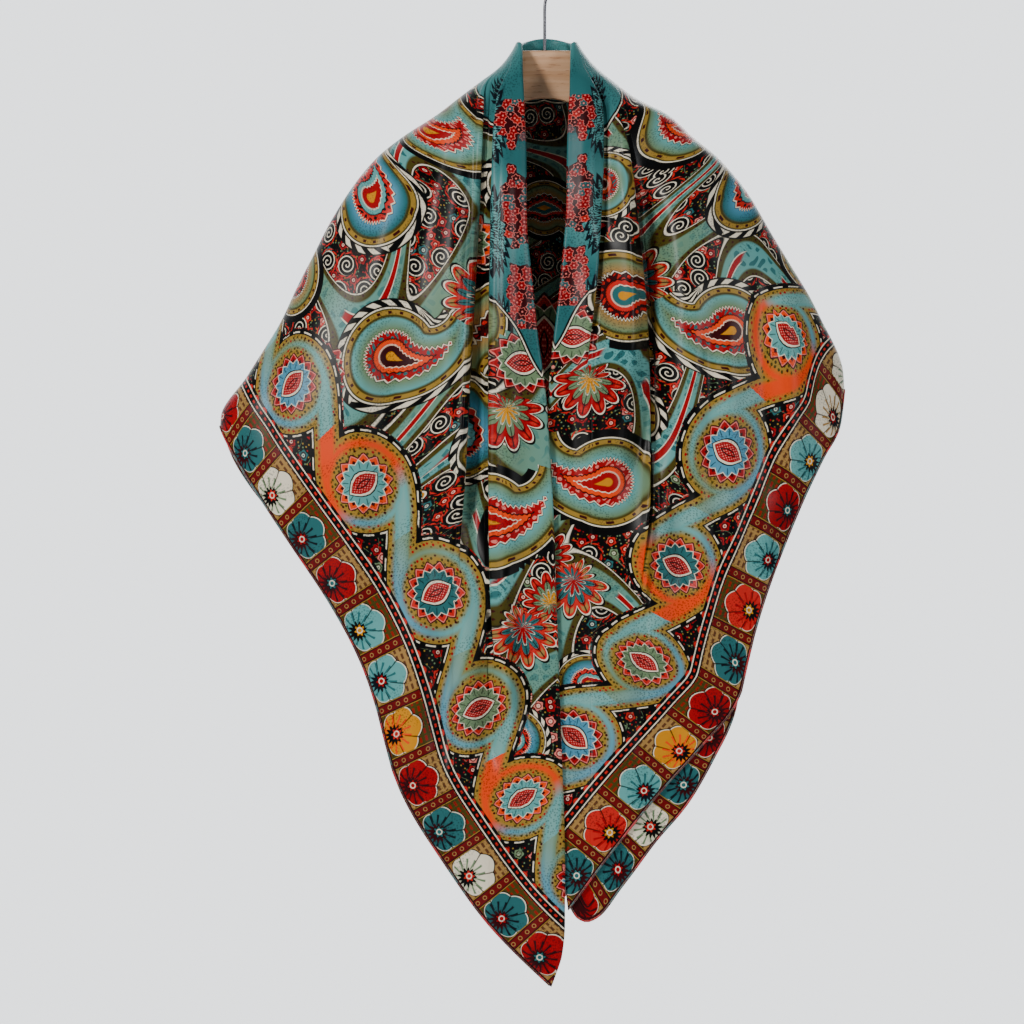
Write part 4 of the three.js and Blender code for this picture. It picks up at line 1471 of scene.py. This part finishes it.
# %% Hanger outline
WALL = 2.0
WOOD = {"thick": 14.0, "fit": 1.3, "top": -97.0, "half": 26.0, "bottom": -146.0, "arch": 5.0}
ARM = {"start": -104.0, "end": -243.0, "at_block": 34.0, "at_end": 25.0, "steps": 30}


def arm_edges(side):
    share = np.linspace(0, 1, ARM["steps"] + 1)
    z = ARM["start"] + (ARM["end"] - ARM["start"]) * share
    sign = -1 if side == "left" else 1
    x = sign * smooth_at(LEVELS, "z", side, z)
    along = np.gradient(np.stack([x, z], axis=1), axis=0)
    along /= np.linalg.norm(along, axis=1, keepdims=True)
    inward = np.stack([along[:, 1], -along[:, 0]], axis=1) * sign
    height = ARM["at_block"] + (ARM["at_end"] - ARM["at_block"]) * share
    upper = np.stack([x, z], axis=1) + inward * (WALL + WOOD["fit"])
    lower = upper + inward * height[:, None]
    keep = (np.abs(lower[:, 0]) > WOOD["half"]) & (lower[:, 1] < WOOD["bottom"])
    return upper, lower[keep]


left_upper, left_lower = arm_edges("left")
right_upper, right_lower = arm_edges("right")
arch_x = np.linspace(WOOD["half"], -WOOD["half"], 17)
arch_z = WOOD["bottom"] + WOOD["arch"] * np.sin(np.pi * np.linspace(0, 1, 17))
outline = np.concatenate([
    [(-WOOD["half"], WOOD["top"]), (WOOD["half"], WOOD["top"])],
    right_upper, right_lower[::-1], np.stack([arch_x, arch_z], axis=1), left_lower, left_upper[::-1],
])
print("outline points:", len(outline))


# %% Hanger board
def board(name, outline, thick, bevel):
    count = len(outline)
    front = [(x * MM, -thick / 2 * MM, z * MM) for x, z in outline]
    back = [(x * MM, thick / 2 * MM, z * MM) for x, z in outline]
    faces = [list(range(count))[::-1], list(range(count, 2 * count))]
    faces += [[i, (i + 1) % count, count + (i + 1) % count, count + i] for i in range(count)]
    mesh = bpy.data.meshes.new(name)
    mesh.from_pydata(front + back, [], faces)
    mesh.validate()
    piece = bpy.data.objects.new(name, mesh)
    bpy.context.scene.collection.objects.link(piece)
    rounding = piece.modifiers.new("rounding", "BEVEL")
    rounding.width = bevel * MM
    rounding.segments = 3
    rounding.limit_method = "ANGLE"
    rounding.angle_limit = math.radians(50)
    graph = bpy.context.evaluated_depsgraph_get()
    piece.data = bpy.data.meshes.new_from_object(piece.evaluated_get(graph), depsgraph=graph)
    piece.modifiers.clear()
    piece.data.shade_smooth()
    piece.data.set_sharp_from_angle(angle=math.radians(35))
    return piece


hanger = board("hanger_board", outline, WOOD["thick"], 1.8)
hanger_size = [round(v, 3) for v in hanger.dimensions]
print("hanger size in metres:", hanger_size)


# %% [markdown]
# Beech has a pale pinkish ground, long quiet grain lines and short darker flecks that run with them.
# Stretched noise makes the lines, and a second, shorter one the flecks.


# %% Beech material
def beech_material():
    material = bpy.data.materials.new("lacquered_beech")
    material.use_nodes = True
    tree = material.node_tree
    shader = tree.nodes["Principled BSDF"]
    place = tree.nodes.new("ShaderNodeTexCoord")

    def grain(scale, detail):
        mapping = tree.nodes.new("ShaderNodeMapping")
        mapping.inputs["Scale"].default_value = scale
        noise = tree.nodes.new("ShaderNodeTexNoise")
        noise.inputs["Scale"].default_value = 1.0
        noise.inputs["Detail"].default_value = detail
        noise.inputs["Distortion"].default_value = 0.4
        tree.links.new(place.outputs["Object"], mapping.inputs["Vector"])
        tree.links.new(mapping.outputs[0], noise.inputs["Vector"])
        return Field(tree, noise.outputs["Fac"])

    lines = grain((7, 60, 150), 4.0)
    flecks = grain((90, 500, 900), 1.0)
    colour = paint(tree, srgb(222, 178, 140), srgb(196, 146, 106), lines.over(0.52, 0.35))
    colour = paint(tree, colour, srgb(160, 108, 74), flecks.over(0.66, 0.06) * 0.7)
    tree.links.new(colour, shader.inputs["Base Color"])
    tree.links.new((lines * 0.15 + 0.36).socket, shader.inputs["Roughness"])
    shader.inputs["Coat Weight"].default_value = 0.2
    shader.inputs["Coat Roughness"].default_value = 0.25
    bump = tree.nodes.new("ShaderNodeBump")
    bump.inputs["Strength"].default_value = 0.12
    bump.inputs["Distance"].default_value = 0.0003
    tree.links.new((lines + flecks * 0.5).socket, bump.inputs["Height"])
    tree.links.new(bump.outputs[0], shader.inputs["Normal"])
    return material


hanger.data.materials.append(beech_material())

# %% [markdown]
# ## The wire hook
# The hook is a round steel wire bent over a rail and screwed into the block. The same sweep that made
# the hem follows its line, with more sides and a larger radius.


# %% Hook
def steel_material():
    material = bpy.data.materials.new("dark_steel")
    material.use_nodes = True
    tree = material.node_tree
    shader = tree.nodes["Principled BSDF"]
    place = tree.nodes.new("ShaderNodeTexCoord")
    drawn = tree.nodes.new("ShaderNodeTexNoise")
    drawn.inputs["Scale"].default_value = 260.0
    tree.links.new(place.outputs["Object"], drawn.inputs["Vector"])
    streak = Field(tree, drawn.outputs["Fac"])
    colour = paint(tree, srgb(70, 70, 74), srgb(104, 104, 108), streak)
    tree.links.new(colour, shader.inputs["Base Color"])
    tree.links.new((streak * 0.2 + 0.24).socket, shader.inputs["Roughness"])
    shader.inputs["Metallic"].default_value = 1.0
    return material


WIRE = 3.0
HOOK_RADIUS = 19.0
HOOK_BEND = 20.0
HOOK_NECK = 36.0
centre = WIRE / 2 - HOOK_RADIUS
bend_angles = np.radians(np.arange(200, -46, -5.0))
hook_line = [(HOOK_RADIUS * math.cos(a), 0, centre + HOOK_RADIUS * math.sin(a)) for a in bend_angles]
hook_line += [(7, 0, centre - HOOK_BEND), (1.8, 0, centre - (HOOK_BEND + HOOK_NECK) / 2)]
hook_line += [(0, 0, centre - HOOK_NECK), (0, 0, centre - HOOK_NECK - 12), (0, 0, WOOD["top"] - 0.5)]


def softened(line, rounds):
    """Cuts the corners of a line again and again, which rounds it and keeps its ends."""
    line = np.array(line, float)
    for _ in range(rounds):
        quarter = line[:-1] * 0.75 + line[1:] * 0.25
        three = line[:-1] * 0.25 + line[1:] * 0.75
        line = np.concatenate([line[:1], np.stack([quarter, three], axis=1).reshape(-1, 3), line[-1:]])
    return line


hook = swept("hook_wire", softened(hook_line, 3), WIRE / 2 * MM, 20, 1.5 * MM, 0.0, steel_material())

# %% [markdown]
# ## The studio
# A pale floor lies below, well clear of the longer tip.

# %% Stage
def plane(name, corners, colour):
    mesh = bpy.data.meshes.new(name)
    mesh.from_pydata(corners, [], [(0, 1, 2, 3)])
    piece = bpy.data.objects.new(name, mesh)
    bpy.context.scene.collection.objects.link(piece)
    material = bpy.data.materials.new(name)
    material.use_nodes = True
    shader = material.node_tree.nodes["Principled BSDF"]
    shader.inputs["Base Color"].default_value = colour
    shader.inputs["Roughness"].default_value = 0.9
    mesh.materials.append(material)
    return piece


FLOOR = -1.35
FLOOR_CORNERS = [(-1.5, -1.5, FLOOR), (1.5, -1.5, FLOOR), (1.5, 1.3, FLOOR), (-1.5, 1.3, FLOOR)]
plane("floor", FLOOR_CORNERS, (0.82, 0.83, 0.84, 1))

# %% [markdown]
# ## Hanging the pieces on the body
# Every new piece rides on the part's one body, and the frame's solids that the new pieces stand for are
# hidden.

# %% Pieces and the frame
for piece in (scarf, under_silk, hem_roll, under_roll, hanger, hook):
    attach(piece, "root")
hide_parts("front_left", "front_right", "back", "neck_fold")
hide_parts("under_right")
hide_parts("hanger_wood")
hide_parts("hanger_hook")
